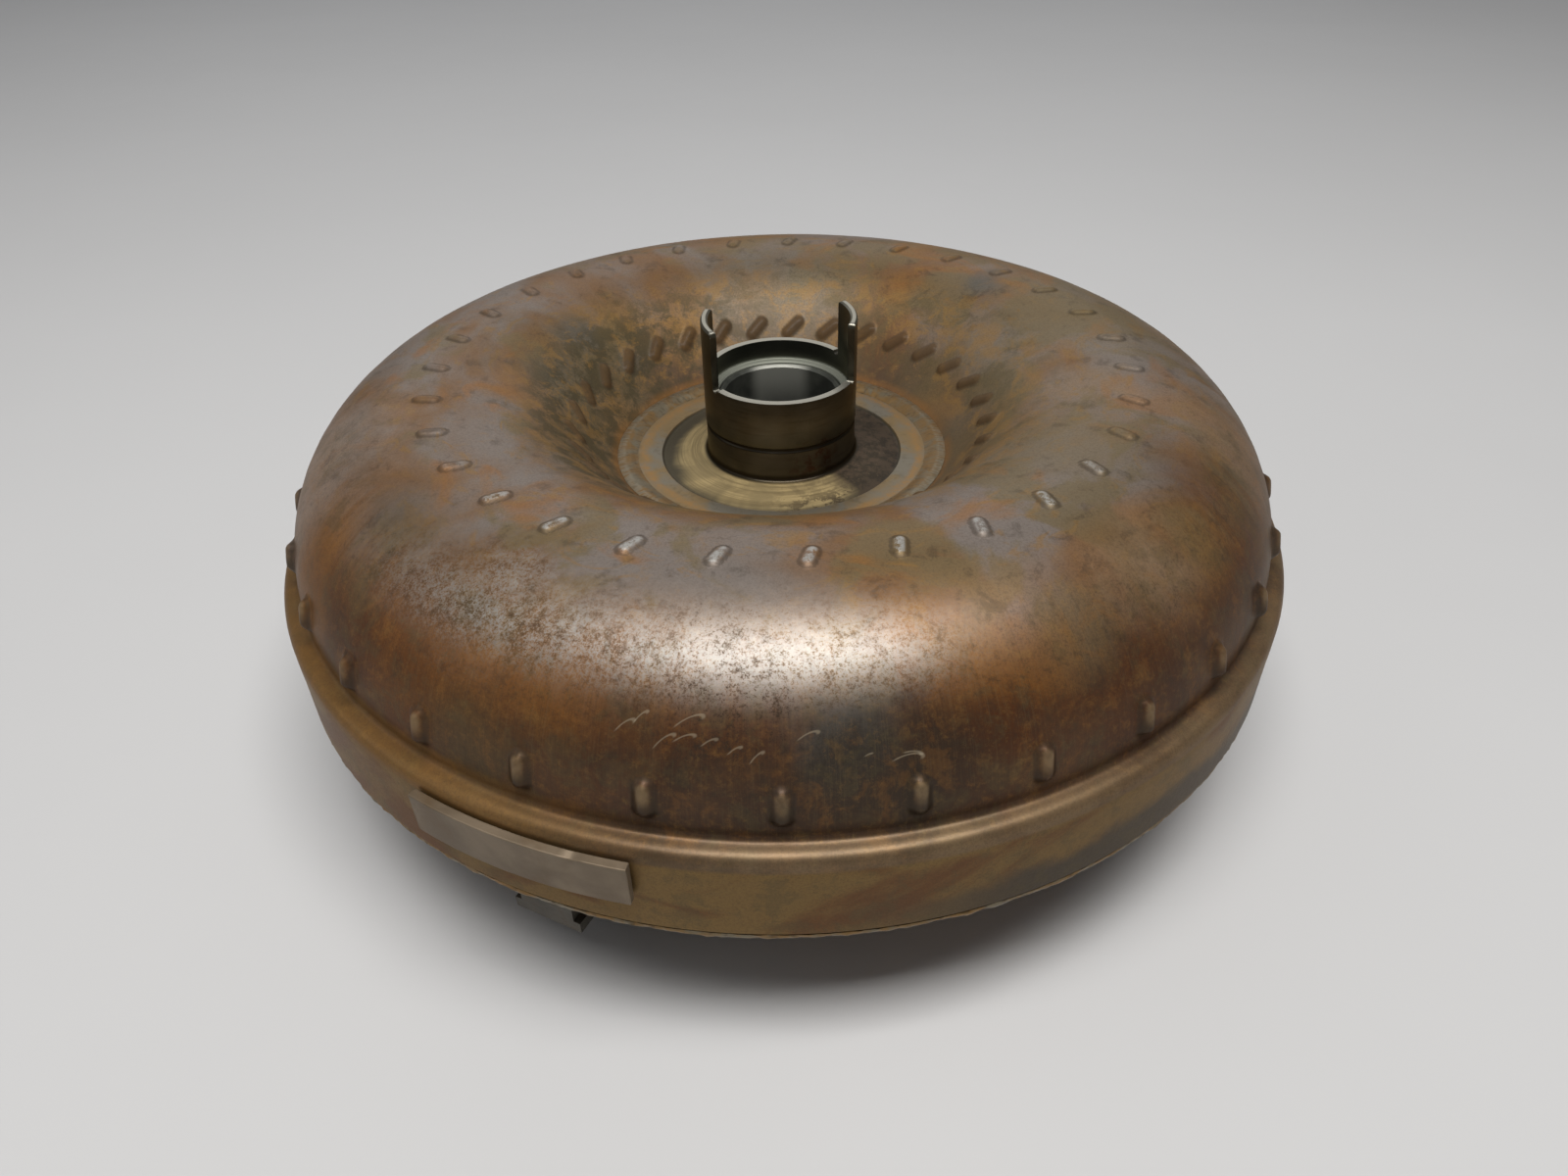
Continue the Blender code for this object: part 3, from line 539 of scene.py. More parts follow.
def shell_look():
    """Heat-tinted, lightly rusted pressed steel: purple-brown with olive, orange and dark maroon areas; the maroon
    and dark colour over the lower walls and under the outer marks is painted shade, and some pale patches are painted
    light.
    """
    look = Look("shell_oxide")
    ramp, times = look.ramp, look.times
    height, radius, sine, cosine = look.z, look.radius, look.sine, look.cosine

    # Noises, from the widest to the finest
    patches = look.noise(17.0, detail=5, distortion=0.9)
    clouds = look.noise(42.0, detail=6, roughness=0.6, distortion=0.5)
    islands = look.noise(120.0, detail=7, roughness=0.72, distortion=0.5)
    flecks = look.noise(150.0, detail=6, roughness=0.7, distortion=0.3)
    streaks = look.round_noise(3.4, 55.0, 42.0, detail=5, distortion=0.8)
    wisps = look.round_noise(7.0, 150.0, 120.0, detail=5, roughness=0.6, distortion=1.2)
    brushed = look.round_noise(26.0, 9.0, detail=6, roughness=0.7)
    grain = look.round_noise(420.0, 150.0, detail=3, roughness=0.7)
    mottle = look.noise(520.0, detail=6, roughness=0.85)
    speckle = look.noise(1700.0, detail=4, roughness=0.85)

    # Zones of the form
    front = ramp(sine, -0.1, -0.75)
    wall = ramp(height, 0.1, 0.086)
    outer = ramp(radius, 0.108, 0.126)
    funnel = ramp(radius, 0.082, 0.058)
    outside = look.minus(1.0, times(funnel, 0.6))
    bowl = times(ramp(radius, 0.086, 0.07), ramp(radius, 0.05, 0.056))
    grimy = times(ramp(radius, 0.078, 0.066), ramp(cosine, 0.25, -0.5))
    front_crown = times(ramp(radius, 0.104, 0.116), ramp(sine, -0.4, -0.8))

    colour = look.layered(
        look.mix(ramp(patches, 0.4, 0.62), "purple", "brown"),
        ("olive", ramp(look.add(clouds, times(cosine, 0.05)), 0.48, 0.6), 0.75),
        ("rust", ramp(streaks, 0.52, 0.66), outside, 0.55),
        ("ochre", ramp(wisps, 0.56, 0.66), outside, 0.5),
        ("umber", outer, ramp(brushed, 0.42, 0.6), 0.6),
        ("rust", outer, ramp(brushed, 0.54, 0.7), 0.4),
        ("olive_dark", funnel, ramp(clouds, 0.3, 0.55), 0.6),
        ("brown", front_crown, 0.42),
        # Painted shade: maroon over the walls below the crown, strongest at the front, then dark colour growing
        # towards the bottom of the wall
        ("maroon", wall, ramp(clouds, 0.3, 0.65, 1.0, 0.7), look.add(0.48, times(front, 0.52))),
        ("soot", ramp(height, 0.091, 0.08), ramp(clouds, 0.35, 0.6, 0.7, 0.35)),
        *[(tone, look.blob(*place, size, size * 0.75, clouds), strength)
          for tone, *place, size, strength in SHELL_PATCHES],
        ("ochre", ramp(flecks, 0.54, 0.68), 0.25),
        ("soot", ramp(flecks, 0.46, 0.34), 0.35),
        ("olive_dark", outer, ramp(islands, 0.5, 0.6), 0.35),
        ("rust", outer, ramp(islands, 0.47, 0.36), 0.22),
        ("olive", funnel, ramp(sine, 0.8, 0.45), 0.4),
        ("grime", grimy, ramp(flecks, 0.42, 0.56), 0.75),
        ("ochre", grimy, ramp(flecks, 0.44, 0.34), 0.5),
        ("olive", outer, ramp(grain, 0.52, 0.66), 0.14),
        ("soot", outer, ramp(grain, 0.48, 0.34), 0.16),
        ("ochre", outer, ramp(mottle, 0.52, 0.64), 0.22),
        ("soot", outer, ramp(mottle, 0.48, 0.36), 0.35),
        ("ochre", bowl, ramp(islands, 0.5, 0.6), 0.45),
        ("olive_dark", bowl, ramp(islands, 0.49, 0.4), 0.4))

    # The worn shoulder at the front, nearly bare, with dark pepper on it and below it
    arc_zone = times(look.between(height, 0.0952, 0.1025, 0.005), front, look.between(cosine, -0.7, 0.23, 0.18),
                     ramp(radius, 0.098, 0.108))
    left_zone = times(look.blob(116, -121, 102.5, 12, 11, clouds), 0.75)
    zone = look.math("MAXIMUM", arc_zone, left_zone)
    # Partly a painted highlight: more bare metal at the centre of the shoulder's highlight, so that it comes out
    # whiter
    highlight_core = look.blob(120.5, -88, 99.5, 20, 14, clouds)
    dark_zone = look.blob(131, -96, 92, 19, 17, clouds)
    spread = look.add(times(mottle, 0.4), times(speckle, 0.6), times(flecks, 0.2))
    bare = times(zone, ramp(look.add(spread, times(highlight_core, 0.05)), 0.545, 0.7))
    pepper = times(look.math("MAXIMUM", times(zone, 0.75), dark_zone), ramp(spread, 0.6, 0.5))

    # The rim: the groove over the bead, the bead, and the band under it
    seam = look.between(height, 0.0655, 0.069, 0.0012)
    bead = look.between(height, 0.06, 0.0652, 0.0008)
    bead_tan = times(ramp(clouds, 0.3, 0.6, 0.25, 0.6), ramp(cosine, -0.55, 0.0))
    lowest = ramp(look.add(height, times(look.minus(clouds, 0.5), 0.02)), 0.052, 0.046)
    band_tone = look.layered(
        look.mix(ramp(streaks, 0.45, 0.6), "band_olive", "umber"),
        ("band_grey", lowest, ramp(cosine, 0.0, 0.4)),
        ("olive_dark", ramp(flecks, 0.5, 0.62), 0.4))

    # The raised marks: painted shade at their feet and on the outer marks' lower halves, a lighter tan on the outer
    # marks' upper halves that is partly wear and partly painted light, worn tops on the crown marks, and the dents
    raised = look.attribute("raised")
    weld_heat = look.between(radius, 0.047, 0.05, 0.0012)
    shaded_foot = times(ramp(raised, 0.0, 0.12), ramp(raised, 0.7, 0.3))
    inner_marks = times(ramp(radius, 0.075, 0.068), ramp(raised, 0.02, 0.5))
    outer_marks = ramp(radius, 0.13, 0.135)
    shaded_undersides = times(outer_marks, ramp(raised, 0.0, 0.3), ramp(height, 0.0765, 0.0725))
    worn_and_lit_tops = times(outer_marks, ramp(raised, 0.45, 0.9), ramp(height, 0.0725, 0.0765))
    crown_tops = times(look.between(radius, 0.088, 0.108, 0.002), ramp(raised, 0.5, 0.9))
    worn = times(crown_tops, ramp(sine, -0.45, -0.8), ramp(mottle, 0.42, 0.55))
    dents = look.add(*[dent(look, *place) for place in DENTS])

    colour = look.layered(
        colour,
        ("bare", bare, 0.9),
        ("soot", pepper, 0.8),
        ("ochre", seam, ramp(cosine, -0.1, -0.6), 0.4),
        ("ochre", bead, ramp(cosine, -0.1, -0.5), 0.5),
        ("tan", bead, bead_tan),
        (band_tone, ramp(height, 0.0615, 0.06)),
        ("soot", ramp(speckle, 0.42, 0.66), 0.3),
        ("rust", weld_heat, ramp(clouds, 0.3, 0.55), 0.4),
        ("soot", shaded_foot, ramp(radius, 0.07, 0.09, 0.3, 0.45)),
        ("mark_shade", inner_marks, 0.75),
        ("soot", shaded_undersides, 0.55),
        ("tan", worn_and_lit_tops, ramp(flecks, 0.35, 0.6, 0.3, 0.7)),
        ("bare", worn, 0.85),
        ("scratch", dents, 0.42))
    look.surface(
        colour,
        look.add(0.52, times(bare, 0.4), times(funnel, -0.2), times(inner_marks, -0.3)),
        look.add(0.27, times(mottle, 0.16), times(speckle, 0.12), times(grain, 0.06), times(funnel, 0.16),
                 times(inner_marks, 0.2), times(bare, 0.04)))
    look.edges(0.3, (0.55, 0.45, 0.37))
    look.gloss(0.07, 0.22)
    look.relief(
        (clouds, 0.3, 0.3),
        (flecks, 0.25, 0.12),
        (grain, 0.2, 0.05),
        (mottle, look.add(0.15, times(zone, 0.45)), 0.07),
        (speckle, look.add(0.3, times(zone, 0.5)), 0.04),
        (dents, -1.0, 0.9))
    return look.material


def hub_look():
    """Turned steel: a dark neck with a painted sheen and painted shade in its groove and foot, pale tang tops that
    are partly painted light, a khaki recess with painted shade round its edge and a dark stain that is partly a
    painted shadow, and a heat-tinted flange.
    """
    look = Look("hub_steel")
    ramp, times = look.ramp, look.times
    height, radius, sine, cosine = look.z, look.radius, look.sine, look.cosine
    clouds = look.noise(70.0, detail=7, distortion=0.6)
    lines = look.round_noise(2.0, 5200.0, 4200.0, detail=4, roughness=0.65)
    rings = look.round_noise(1.5, 1500.0, 900.0, detail=3)
    specks = look.noise(1400.0, detail=4, roughness=0.7)
    fine = look.noise(300.0, detail=6, roughness=0.75)
    wander = times(look.minus(clouds, 0.5), 0.006)

    # Painted highlight: a lighter sheen down the front of the neck
    painted_sheen = times(look.between(cosine, -0.38, 0.02, 0.12), ramp(sine, 0.0, -0.5))
    rusty = times(look.blob(22, -62, 84, 7, 5, clouds), ramp(fine, 0.48, 0.6))
    inside = ramp(radius, 0.0203, 0.0201)
    ledge = times(inside, ramp(height, 0.0986, 0.0982), ramp(height, 0.0965, 0.097))
    # Partly painted light: the upward faces of the tang tips take a pale ground-steel tone, so the tops read as lit
    # from above
    lit_faces_up = times(ramp(look.normal_up(), 0.55, 0.95), ramp(height, 0.1025, 0.1032))
    # Painted shade in the corner where the neck meets the recess floor, also dulling the fillet's highlight
    shaded_foot = times(ramp(height, 0.0818, 0.0805), ramp(radius, 0.0246, 0.023))
    neck = look.layered(
        look.mix(ramp(clouds, 0.35, 0.65), "neck_dark", "neck_light"),
        ("neck_ring", ramp(rings, 0.5, 0.7), 0.4),
        ("neck_sheen", painted_sheen, 0.22),
        ("neck_foot", ramp(height, 0.089, 0.0884), 0.35),
        ("neck_rust", rusty, 0.8),
        # painted shade in the neck's groove and over the chamfer below it
        ("groove", look.between(height, 0.0883, 0.0899, 0.0002), 0.85),
        ("counterbore", inside, 0.7),
        ("ledge", ledge, 0.9),
        ("ground", lit_faces_up),
        ("corner", shaded_foot, 0.85))

    # A dark stain on the recess floor's right side, partly a painted shadow of the neck
    stain_edge = look.add(cosine, times(look.minus(fine, 0.5), 0.7), times(look.minus(clouds, 0.5), 0.5))
    stain = times(ramp(stain_edge, 0.42, 0.52), ramp(sine, -0.88, -0.72))
    stain_and_shadow = look.layered(
        look.mix(ramp(fine, 0.42, 0.62), "stain_dark", "stain_light"),
        ("stain_speck", ramp(specks, 0.6, 0.7), 0.5))
    # Painted shade: a dark ring just inside the recess's edge, wide round the back and sides, thin at the front
    wide_edge = look.minus(radius, ramp(sine, 0.1, -0.85, 0.0, 0.0042))
    near_edge = ramp(radius, 0.027, 0.033, 0.35, 1.0)
    sheet = look.layered(
        look.mix(ramp(rings, 0.38, 0.65), "sheet_light", "sheet_dark"),
        ("sheet_cloud", ramp(clouds, 0.42, 0.62), 0.6),
        ("sheet_edge", ramp(look.add(wide_edge, wander), 0.0268, 0.0322)),
        (stain_and_shadow, stain, 0.97),
        ("spot", times(ramp(fine, 0.46, 0.55), ramp(cosine, -0.35, 0.35), near_edge), 0.85))

    heat = look.between(look.add(radius, wander), 0.0397, 0.0421, 0.0012)
    ring_tone = look.layered(
        look.mix(ramp(clouds, 0.4, 0.6), "flange_grey", "flange_tan"),
        ("flange_dark", ramp(fine, 0.52, 0.64), 0.35),
        ("flange_heat", heat, ramp(fine, 0.4, 0.58, 0.3, 0.9)))

    floor = look.between(radius, 0.0228, 0.0352, 0.0006)
    flange = ramp(radius, 0.0352, 0.0357)
    look.surface(
        look.layered(neck, (sheet, floor), (ring_tone, flange)),
        look.add(0.92, times(floor, -0.6), times(floor, stain, -0.25), times(flange, -0.3), times(ledge, -0.5)),
        look.add(0.2, times(clouds, 0.16), times(specks, 0.1), times(floor, 0.25), times(flange, 0.12),
                 times(ledge, 0.25)))
    look.edges(0.35, (0.72, 0.68, 0.58))
    look.relief((lines, 0.3, 0.04), (rings, 0.15, 0.06), (specks, 0.2, 0.03), (fine, times(floor, 0.3), 0.06))
    return look.material


def bushing_look():
    """A dark, oily bore with a painted reflection: one paler stripe down its back."""
    look = Look("bushing_oiled")
    clouds = look.noise(120.0, detail=6, distortion=0.4)
    specks = look.noise(1500.0, detail=3, roughness=0.7)
    rings = look.round_noise(2.0, 6000.0, 5000.0, detail=3)
    colour = look.layered(
        look.mix(look.ramp(clouds, 0.35, 0.65), "oil_dark", "oil_light"),
        ("oil_stripe", look.ramp(look.sine, 0.8, 0.95), look.ramp(look.z, 0.08, 0.097)))
    look.surface(colour, 0.35, look.add(0.34, look.times(clouds, 0.14), look.times(specks, 0.1)))
    look.relief((rings, 0.25, 0.04), (specks, 0.25, 0.04))
    return look.material


def weld_look():
    """A grey-brown bead with cross ripples and a paler toe beside the hub's flange."""
    look = Look("weld_grey")
    clouds = look.noise(160.0, detail=6, distortion=0.8)
    ripples = look.round_noise(60.0, 300.0, detail=3)
    specks = look.noise(1600.0, detail=4, roughness=0.7)
    toe = look.between(look.radius, 0.0462, 0.0486, 0.0005)
    colour = look.layered(
        look.mix(look.ramp(clouds, 0.35, 0.6), "weld_grey", "weld_rust"),
        ("weld_dark", look.ramp(ripples, 0.52, 0.7), 0.6),
        ("weld_toe", toe, look.ramp(ripples, 0.38, 0.55), 0.5))
    look.surface(colour, 0.8, look.add(0.32, look.times(specks, 0.2), look.times(clouds, 0.1)))
    look.relief((clouds, 0.5, 0.15), (ripples, 0.4, 0.12), (specks, 0.35, 0.05))
    return look.material


def finishes():
    """One material for each of the record's slots; the keys are the record's slot names."""
    return {
        "shell_steel": shell_look(),
        "machined_steel": worked_metal("machined_grey", (0.33, 0.32, 0.3), (0.46, 0.45, 0.43), 0.3, lathe=0.35),
        "weld_bead": weld_look(),
        "cover_steel": worked_metal("cover_oxide", (0.13, 0.095, 0.07), (0.24, 0.18, 0.13), 0.45, 0.85,
                                    patch=35.0, pits=0.25, grit=0.1, tint=(0.3, 0.16, 0.06)),
        "weight_steel": worked_metal("weight_steel_worn", (0.128, 0.094, 0.06), (0.205, 0.158, 0.108), 0.52, 0.55,
                                     patch=60.0, grit=0.25, tint=(0.13, 0.085, 0.045)),
        "bushing_bronze": bushing_look(),
        "zinc_plated": worked_metal("zinc_yellowed", (0.42, 0.4, 0.33), (0.56, 0.55, 0.48), 0.34, patch=200.0),
        "copper": worked_metal("copper_dull", (0.42, 0.19, 0.1), (0.6, 0.3, 0.17), 0.36, patch=200.0,
                               tint=(0.25, 0.14, 0.09)),
        "blade_steel": worked_metal("blade_bright", (0.36, 0.35, 0.34), (0.48, 0.47, 0.46), 0.34, patch=45.0,
                                    tint=(0.3, 0.27, 0.23)),
        "cast_aluminium": worked_metal("aluminium_cast", (0.5, 0.5, 0.51), (0.64, 0.64, 0.65), 0.46,
                                       patch=80.0, pits=0.2, grit=0.35),
        "bearing_steel": worked_metal("bearing_ground", (0.5, 0.5, 0.51), (0.62, 0.62, 0.63), 0.2, lathe=0.15),
        "spring_steel": worked_metal("spring_blued", (0.22, 0.24, 0.3), (0.36, 0.37, 0.41), 0.28, patch=250.0),
        "phenolic": worked_metal("phenolic_brown", (0.09, 0.055, 0.03), (0.16, 0.1, 0.055), 0.55, 0.0,
                                 patch=150.0, grit=0.2),
    }


def dress(piece, slot, nodes, material=None):
    """Give a new piece of the housing the finish of its slot and its body, and hide the CAD nodes that it stands for.
    """
    piece.data.materials.clear()
    piece.data.materials.append(material or FINISHES[slot])
    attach(piece, "housing")
    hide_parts(*nodes)


# ---- impeller shell
def shell_profile():
    """The outside, hub seat to rim, as a dense line; the marks are measured along it."""
    funnel = bezier((48.6, 79.4), (61.0, 88.7), (CROWN_R - 31.3, CROWN), (CROWN_R, CROWN), 240)
    wall = arc((CROWN_R, TORUS), (TORUS_R - CROWN_R, CROWN - TORUS), 90, 0, 240)
    valley = bezier((TORUS_R, TORUS), (TORUS_R, TORUS - 1.6), (140.3, TORUS - 1.9), (141.7, TORUS - 2.1), 30)
    bead = bezier((141.7, TORUS - 2.1), (143.9, TORUS - 2.4), (RIM_R, TORUS - 3.6), (RIM_R, TORUS - 6.3), 40)
    return funnel + wall[1:] + valley[1:] + bead[1:] + [(144.75, TORUS - 12), (144.6, RIM_BOTTOM + 0.5)]


def stations_along(total, bands, coarse):
    """Distances along the profile, close together inside the named bands."""
    places, at = [], 0.0
    while at < total:
        places.append(at)
        steps = [step for start, end, step in bands if start - coarse <= at <= end]
        at += min(steps, default=coarse)
    return np.array(places + [total])


def unevenness(profile, azimuths):
    """A wide noise over the grid, sampled at every few columns and averaged between them."""
    wave = np.array([[
        noise.noise(Vector((r * cos(a), r * sin(a), z)) / WAVE_SIZE) for a in azimuths[::WAVE_SPAN]]
        for r, z in profile])
    kernel = np.ones(WAVE_SPAN) / WAVE_SPAN
    before, after = WAVE_SPAN // 2, WAVE_SPAN // 2 - 1
    return np.array([
        np.convolve(np.concatenate([row[-before:], row, row[:after]]), kernel, "valid")
        for row in np.repeat(wave, WAVE_SPAN, axis=1)])


def build_shell():
    outline = shell_profile()
    dense, along = np.array(outline), lengths_along(outline)
    centres = [along[np.argmin(np.hypot(dense[:, 0] - radius, dense[:, 1] - (TORUS + above)))]
               for radius, above, *_ in MARK_RINGS]
    bead_start = along[np.argmin(np.abs(dense[:, 1] - TORUS))]
    bands = [(centre - MARK_BAND, centre + MARK_BAND, MARK_STEP) for centre in centres]
    bands.append((bead_start + BEAD_BAND[0], bead_start + BEAD_BAND[1], BEAD_STEP))
    stations = stations_along(along[-1], bands, COARSE_STEP)
    profile = resampled(outline, stations)
    normals = left_normals(profile)
    columns = BLADES * COLUMNS_PER_BLADE
    azimuths = np.arange(columns) * 2 * pi / columns
    raised = np.zeros((len(profile), columns))
    marks = np.zeros((len(profile), columns))
    pitch = 2 * pi / BLADES
    for (_, _, phase, length, width, slant, rise), centre in zip(MARK_RINGS, centres):
        turn = (azimuths - radians(phase) + pitch / 2) % pitch - pitch / 2
        across = profile[:, :1] * turn[None, :]
        lengthwise = (stations - centre)[:, None]
        slant = radians(slant)
        down = lengthwise * cos(slant) - across * sin(slant)
        aside = across * cos(slant) + lengthwise * sin(slant)
        half_width = width / 2
        beyond = np.maximum(np.abs(down) - (length / 2 - half_width), 0.0)
        distance = np.hypot(beyond, aside) / half_width
        dome = np.clip(1.0 - distance ** 2, 0.0, 1.0) ** 1.5
        raised += rise * dome
        marks = np.maximum(marks, dome)
    # The unevenness fades out down the last 6 mm above the rim's valley
    raised += unevenness(profile, azimuths) * WAVE_HEIGHT * smooth((TORUS - 2 - profile[:, 1:]) / -6.0)
    radii = profile[:, :1] + normals[:, :1] * raised
    heights = profile[:, 1:] + normals[:, 1:] * raised
    inside = resampled(outline, np.linspace(along[0], bead_start - 2, 9))
    inside = inside - left_normals(inside) * SHELL_T
    back = [(144.2, RIM_BOTTOM), (141.9, RIM_BOTTOM), (141.6, RIM_BOTTOM + 0.4), (141.6, COVER_TOP + 0.3),
            (TORUS_R - SHELL_T, COVER_TOP + 0.3)]
    back += [tuple(point) for point in inside[::-1]]
    back += [(FLANGE_R + 0.3, 75.2), (FLANGE_R + 0.3, 78.0), (47.8, 78.2)]
    back_radii = np.repeat(np.array(back)[:, :1], columns, axis=1)
    back_heights = np.repeat(np.array(back)[:, 1:], columns, axis=1)
    shell = ring_skin("impeller_shell_pressing", np.vstack([radii, back_radii]),
                      np.vstack([heights, back_heights]))
    attribute = shell.data.attributes.new("raised", "FLOAT", "POINT")
    attribute.data.foreach_set("value", np.vstack([marks, back_radii * 0]).ravel().astype(np.float32))
    dress(shell, "shell_steel", ["impeller_shell"])


# ---- pump hub and its welds
def build_hub():
    outline = [(NECK_BORE_R, TANG_TIP - 0.45), (NECK_BORE_R + 0.5, TANG_TIP), (NECK_R - 0.5, TANG_TIP),
               (NECK_R, TANG_TIP - 0.6), (NECK_R, 90.2), (NECK_R - 0.12, 89.9), (NECK_R - 0.5, 89.6),
               (NECK_R - 0.5, 88.9), (NECK_R - 0.2, 88.5)]
    outline += arc((NECK_R + 0.9, 80.4), (1.05, 1.0), 180, 262, 5)
    outline += [(24.0, 79.15), (34.2, 77.75)]
    outline += bezier((34.4, 77.7), (35.1, 77.6), (35.4, 78.0), (RECESS_R, FLANGE - 0.15), 5)
    outline += [(RECESS_R + 0.35, FLANGE), (40.0, FLANGE + 0.02), (FLANGE_R, FLANGE), (FLANGE_R, HUB_UNDERSIDE),
                (HUB_BORE_R, HUB_UNDERSIDE), (HUB_BORE_R, HUB_RIM - 6.3), (HUB_BORE_R + 0.35, HUB_RIM - 5.9),
                (NECK_BORE_R - 0.15, HUB_RIM - 5.9), (NECK_BORE_R, HUB_RIM - 5.75)]
    hub = turned("pump_hub_turned", outline, 160)
    first, second = TANG_AZIMUTHS
    tools = []
    for start, end in ((first + TANG_HALF_ANGLE, second - TANG_HALF_ANGLE),
                       (second + TANG_HALF_ANGLE, first + 360 - TANG_HALF_ANGLE)):
        loop = polar_run(NECK_R + 4, start, end, 40) + polar_run(NECK_BORE_R - 4, end, start, 40)
        tools.append(extruded("tang_gap", loop, HUB_RIM, TANG_TIP + 5))
        for azimuth, side in ((start, 1), (end, -1)):
            tools.append(root_relief(azimuth + side * ROOT_RELIEF_R / NECK_R * 180 / pi))
            tools.append(corner_round(azimuth, side))
    cut(hub, *tools)
    bevelled(hub, 0.22, 2, 50.0)
    dress(hub, "machined_steel", ["pump_hub"], material=hub_look())


def corner_round(azimuth, side):
    """What a tang's top corner loses where it is rounded off, as a prism along the radius."""
    size = 1.5
    rounding = [(TANG_TIP - size + size * sin(a), -side * (size - size * cos(a))) for a in np.linspace(0, pi / 2, 7)]
    loop = rounding + [(TANG_TIP + 1, -side * size), (TANG_TIP + 1, side), (TANG_TIP - size, side)]
    return radial_prism("corner_round", loop, azimuth)


def root_relief(azimuth):
    """A small drilled relief in the corner between the neck's rim and a tang, as a radial cylinder."""
    loop = [(HUB_RIM + 0.1 - ROOT_RELIEF_R * cos(a), ROOT_RELIEF_R * sin(a))
            for a in np.linspace(0, 2 * pi, 20, endpoint=False)]
    return radial_prism("root_relief", loop, azimuth)


def radial_prism(name, loop, azimuth):
    """A flat outline of heights and sideways distances, extruded along the radius through the neck's wall."""
    tool = extruded(name, [(-height, aside) for height, aside in loop], NECK_BORE_R - 3, NECK_R + 3,
                    Matrix.Rotation(pi / 2, 4, "Y"))
    tool.data.transform(Matrix.Rotation(radians(azimuth), 4, "Z"))
    return tool


def build_hub_details():
    bead = bezier((42.6, 78.66), (44.0, 79.0), (45.0, 80.0), (46.8, 79.85), 8)
    bead += bezier((47.2, 79.8), (47.8, 79.7), (48.2, 79.6), (48.6, 79.5), 3) + [(47.8, 78.75), (44.2, 78.66)]
    ring = rough_ring("hub_weld_bead", bead, 540, 3.2, 0.12, 1)
    dress(ring, "weld_bead", ["hub_weld_ring"])
    outline = [(BUSHING_BORE_R + 0.55, HUB_RIM - 6.5), (HUB_BORE_R - 0.45, HUB_RIM - 6.5),
               (HUB_BORE_R - 0.3, HUB_RIM - 6.7), (HUB_BORE_R - 0.3, 80.0), (BUSHING_BORE_R, 80.0),
               (BUSHING_BORE_R, HUB_RIM - 7.1)]
    dress(turned("hub_bushing_sleeve", outline, 160), "bushing_bronze", ["hub_bushing"])


# ---- front cover side
def build_cover():
    corner = arc((CROWN_R, 43.0), (COVER_R - CROWN_R, 43.0 - COVER_FACE), 0, -90, 26, 1.5)
    outside = [(COVER_R, COVER_TOP - 0.4)] + corner
    inside = np.array(corner) + left_normals(np.array(corner)) * -COVER_T
    outline = [(COVER_R - COVER_T + 0.3, COVER_TOP), (COVER_R - 0.4, COVER_TOP)] + outside
    outline += [(14.0, COVER_FACE), (12.3, COVER_FACE + 0.4), (12.3, COVER_FACE + COVER_T)]
    outline += [tuple(point) for point in inside[::-1]]
    cover = turned("front_cover_pressing", outline, 288)
    drills = []
    for azimuth in DRAIN_AZIMUTHS:
        loop = polar_run(4.4, 0, 360, 32)[:-1]
        drills.append(placed(extruded("drain_drill", loop, COVER_FACE - 5, COVER_FACE + 10), DRAIN_R, azimuth))
    cut(cover, *drills)
    dress(cover, "cover_steel", ["front_cover"])


def build_rim_weld():
    bead = [(144.25, 39.72), (144.4, 39.2), (144.1, 38.4), (143.3, 37.7), (142.3, 37.25), (141.0, 37.0),
            (139.6, 37.0), (138.7, 37.3), (138.4, 37.9), (139.3, 38.9), (140.3, 39.7)]
    ring = rough_ring("rim_weld_bead", bead, 900, 3.0, 0.28, 2)
    dress(ring, "weld_bead", ["rim_weld_ring"])


def build_pilot():
    outline = [(0.0, 25.4), (11.6, 25.4), (12.0, 25.0), (12.0, 20.7), (23.6, 20.7), (24.0, 20.3), (24.0, 14.5)]
    outline += arc((22.5, 14.5), (1.5, 1.5), 0, -90, 5)[1:]
    outline += [(17.2, 13.0), (16.9, 12.6), (17.5, 11.9), (17.5, 1.6)]
    outline += arc((16.0, 1.5), (1.5, 1.5), 0, -90, 6)[1:]
    outline += [(3.0, 0.0), (0.0, 3.0)]
    boss = turned_solid("pilot_boss_turned", outline, 96)
    dress(boss, "machined_steel", ["pilot_boss"])


def build_lugs():
    """The drilled feet keep their CAD shape, with softened edges."""
    for number in (1, 2, 3):
        bevelled(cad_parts[f"mounting_lug_{number}"], 0.5, 2, 50.0)


def build_weight():
    """A curved steel strip with softened edges and a small nick in its top edge."""
    inner = RIM_R + 0.4
    outer = inner + 2.4
    bottom, top = low("balance_weight"), high("balance_weight")
    start, end = WEIGHT_AZIMUTHS
    shape = bmesh.new()
    sections = []
    for azimuth in np.linspace(start, end, 61):
        nick = max(0.0, 1.0 - abs(azimuth - NICK_AZIMUTH) / NICK_HALF_ANGLE) * NICK_DEPTH
        sag = 0.12 * noise.noise(Vector((azimuth / 3.0, 0.0, 5.0)))
        corners = ((inner, bottom), (outer - 0.25, bottom + sag), (outer - nick * 0.5, top - nick + sag * 0.5),
                   (inner, top))
        sections.append([shape.verts.new((*(c * MM for c in polar(r, azimuth)), z * MM)) for r, z in corners])
    for first, second in zip(sections, sections[1:]):
        for index in range(4):
            following = (index + 1) % 4
            shape.faces.new((first[index], first[following], second[following], second[index]))
    shape.faces.new(sections[0][::-1])
    shape.faces.new(sections[-1])
    strip = bevelled(finish_shape("balance_weight_strip", shape), 0.35, 2, 45.0)
    dress(strip, "weight_steel", ["balance_weight"])


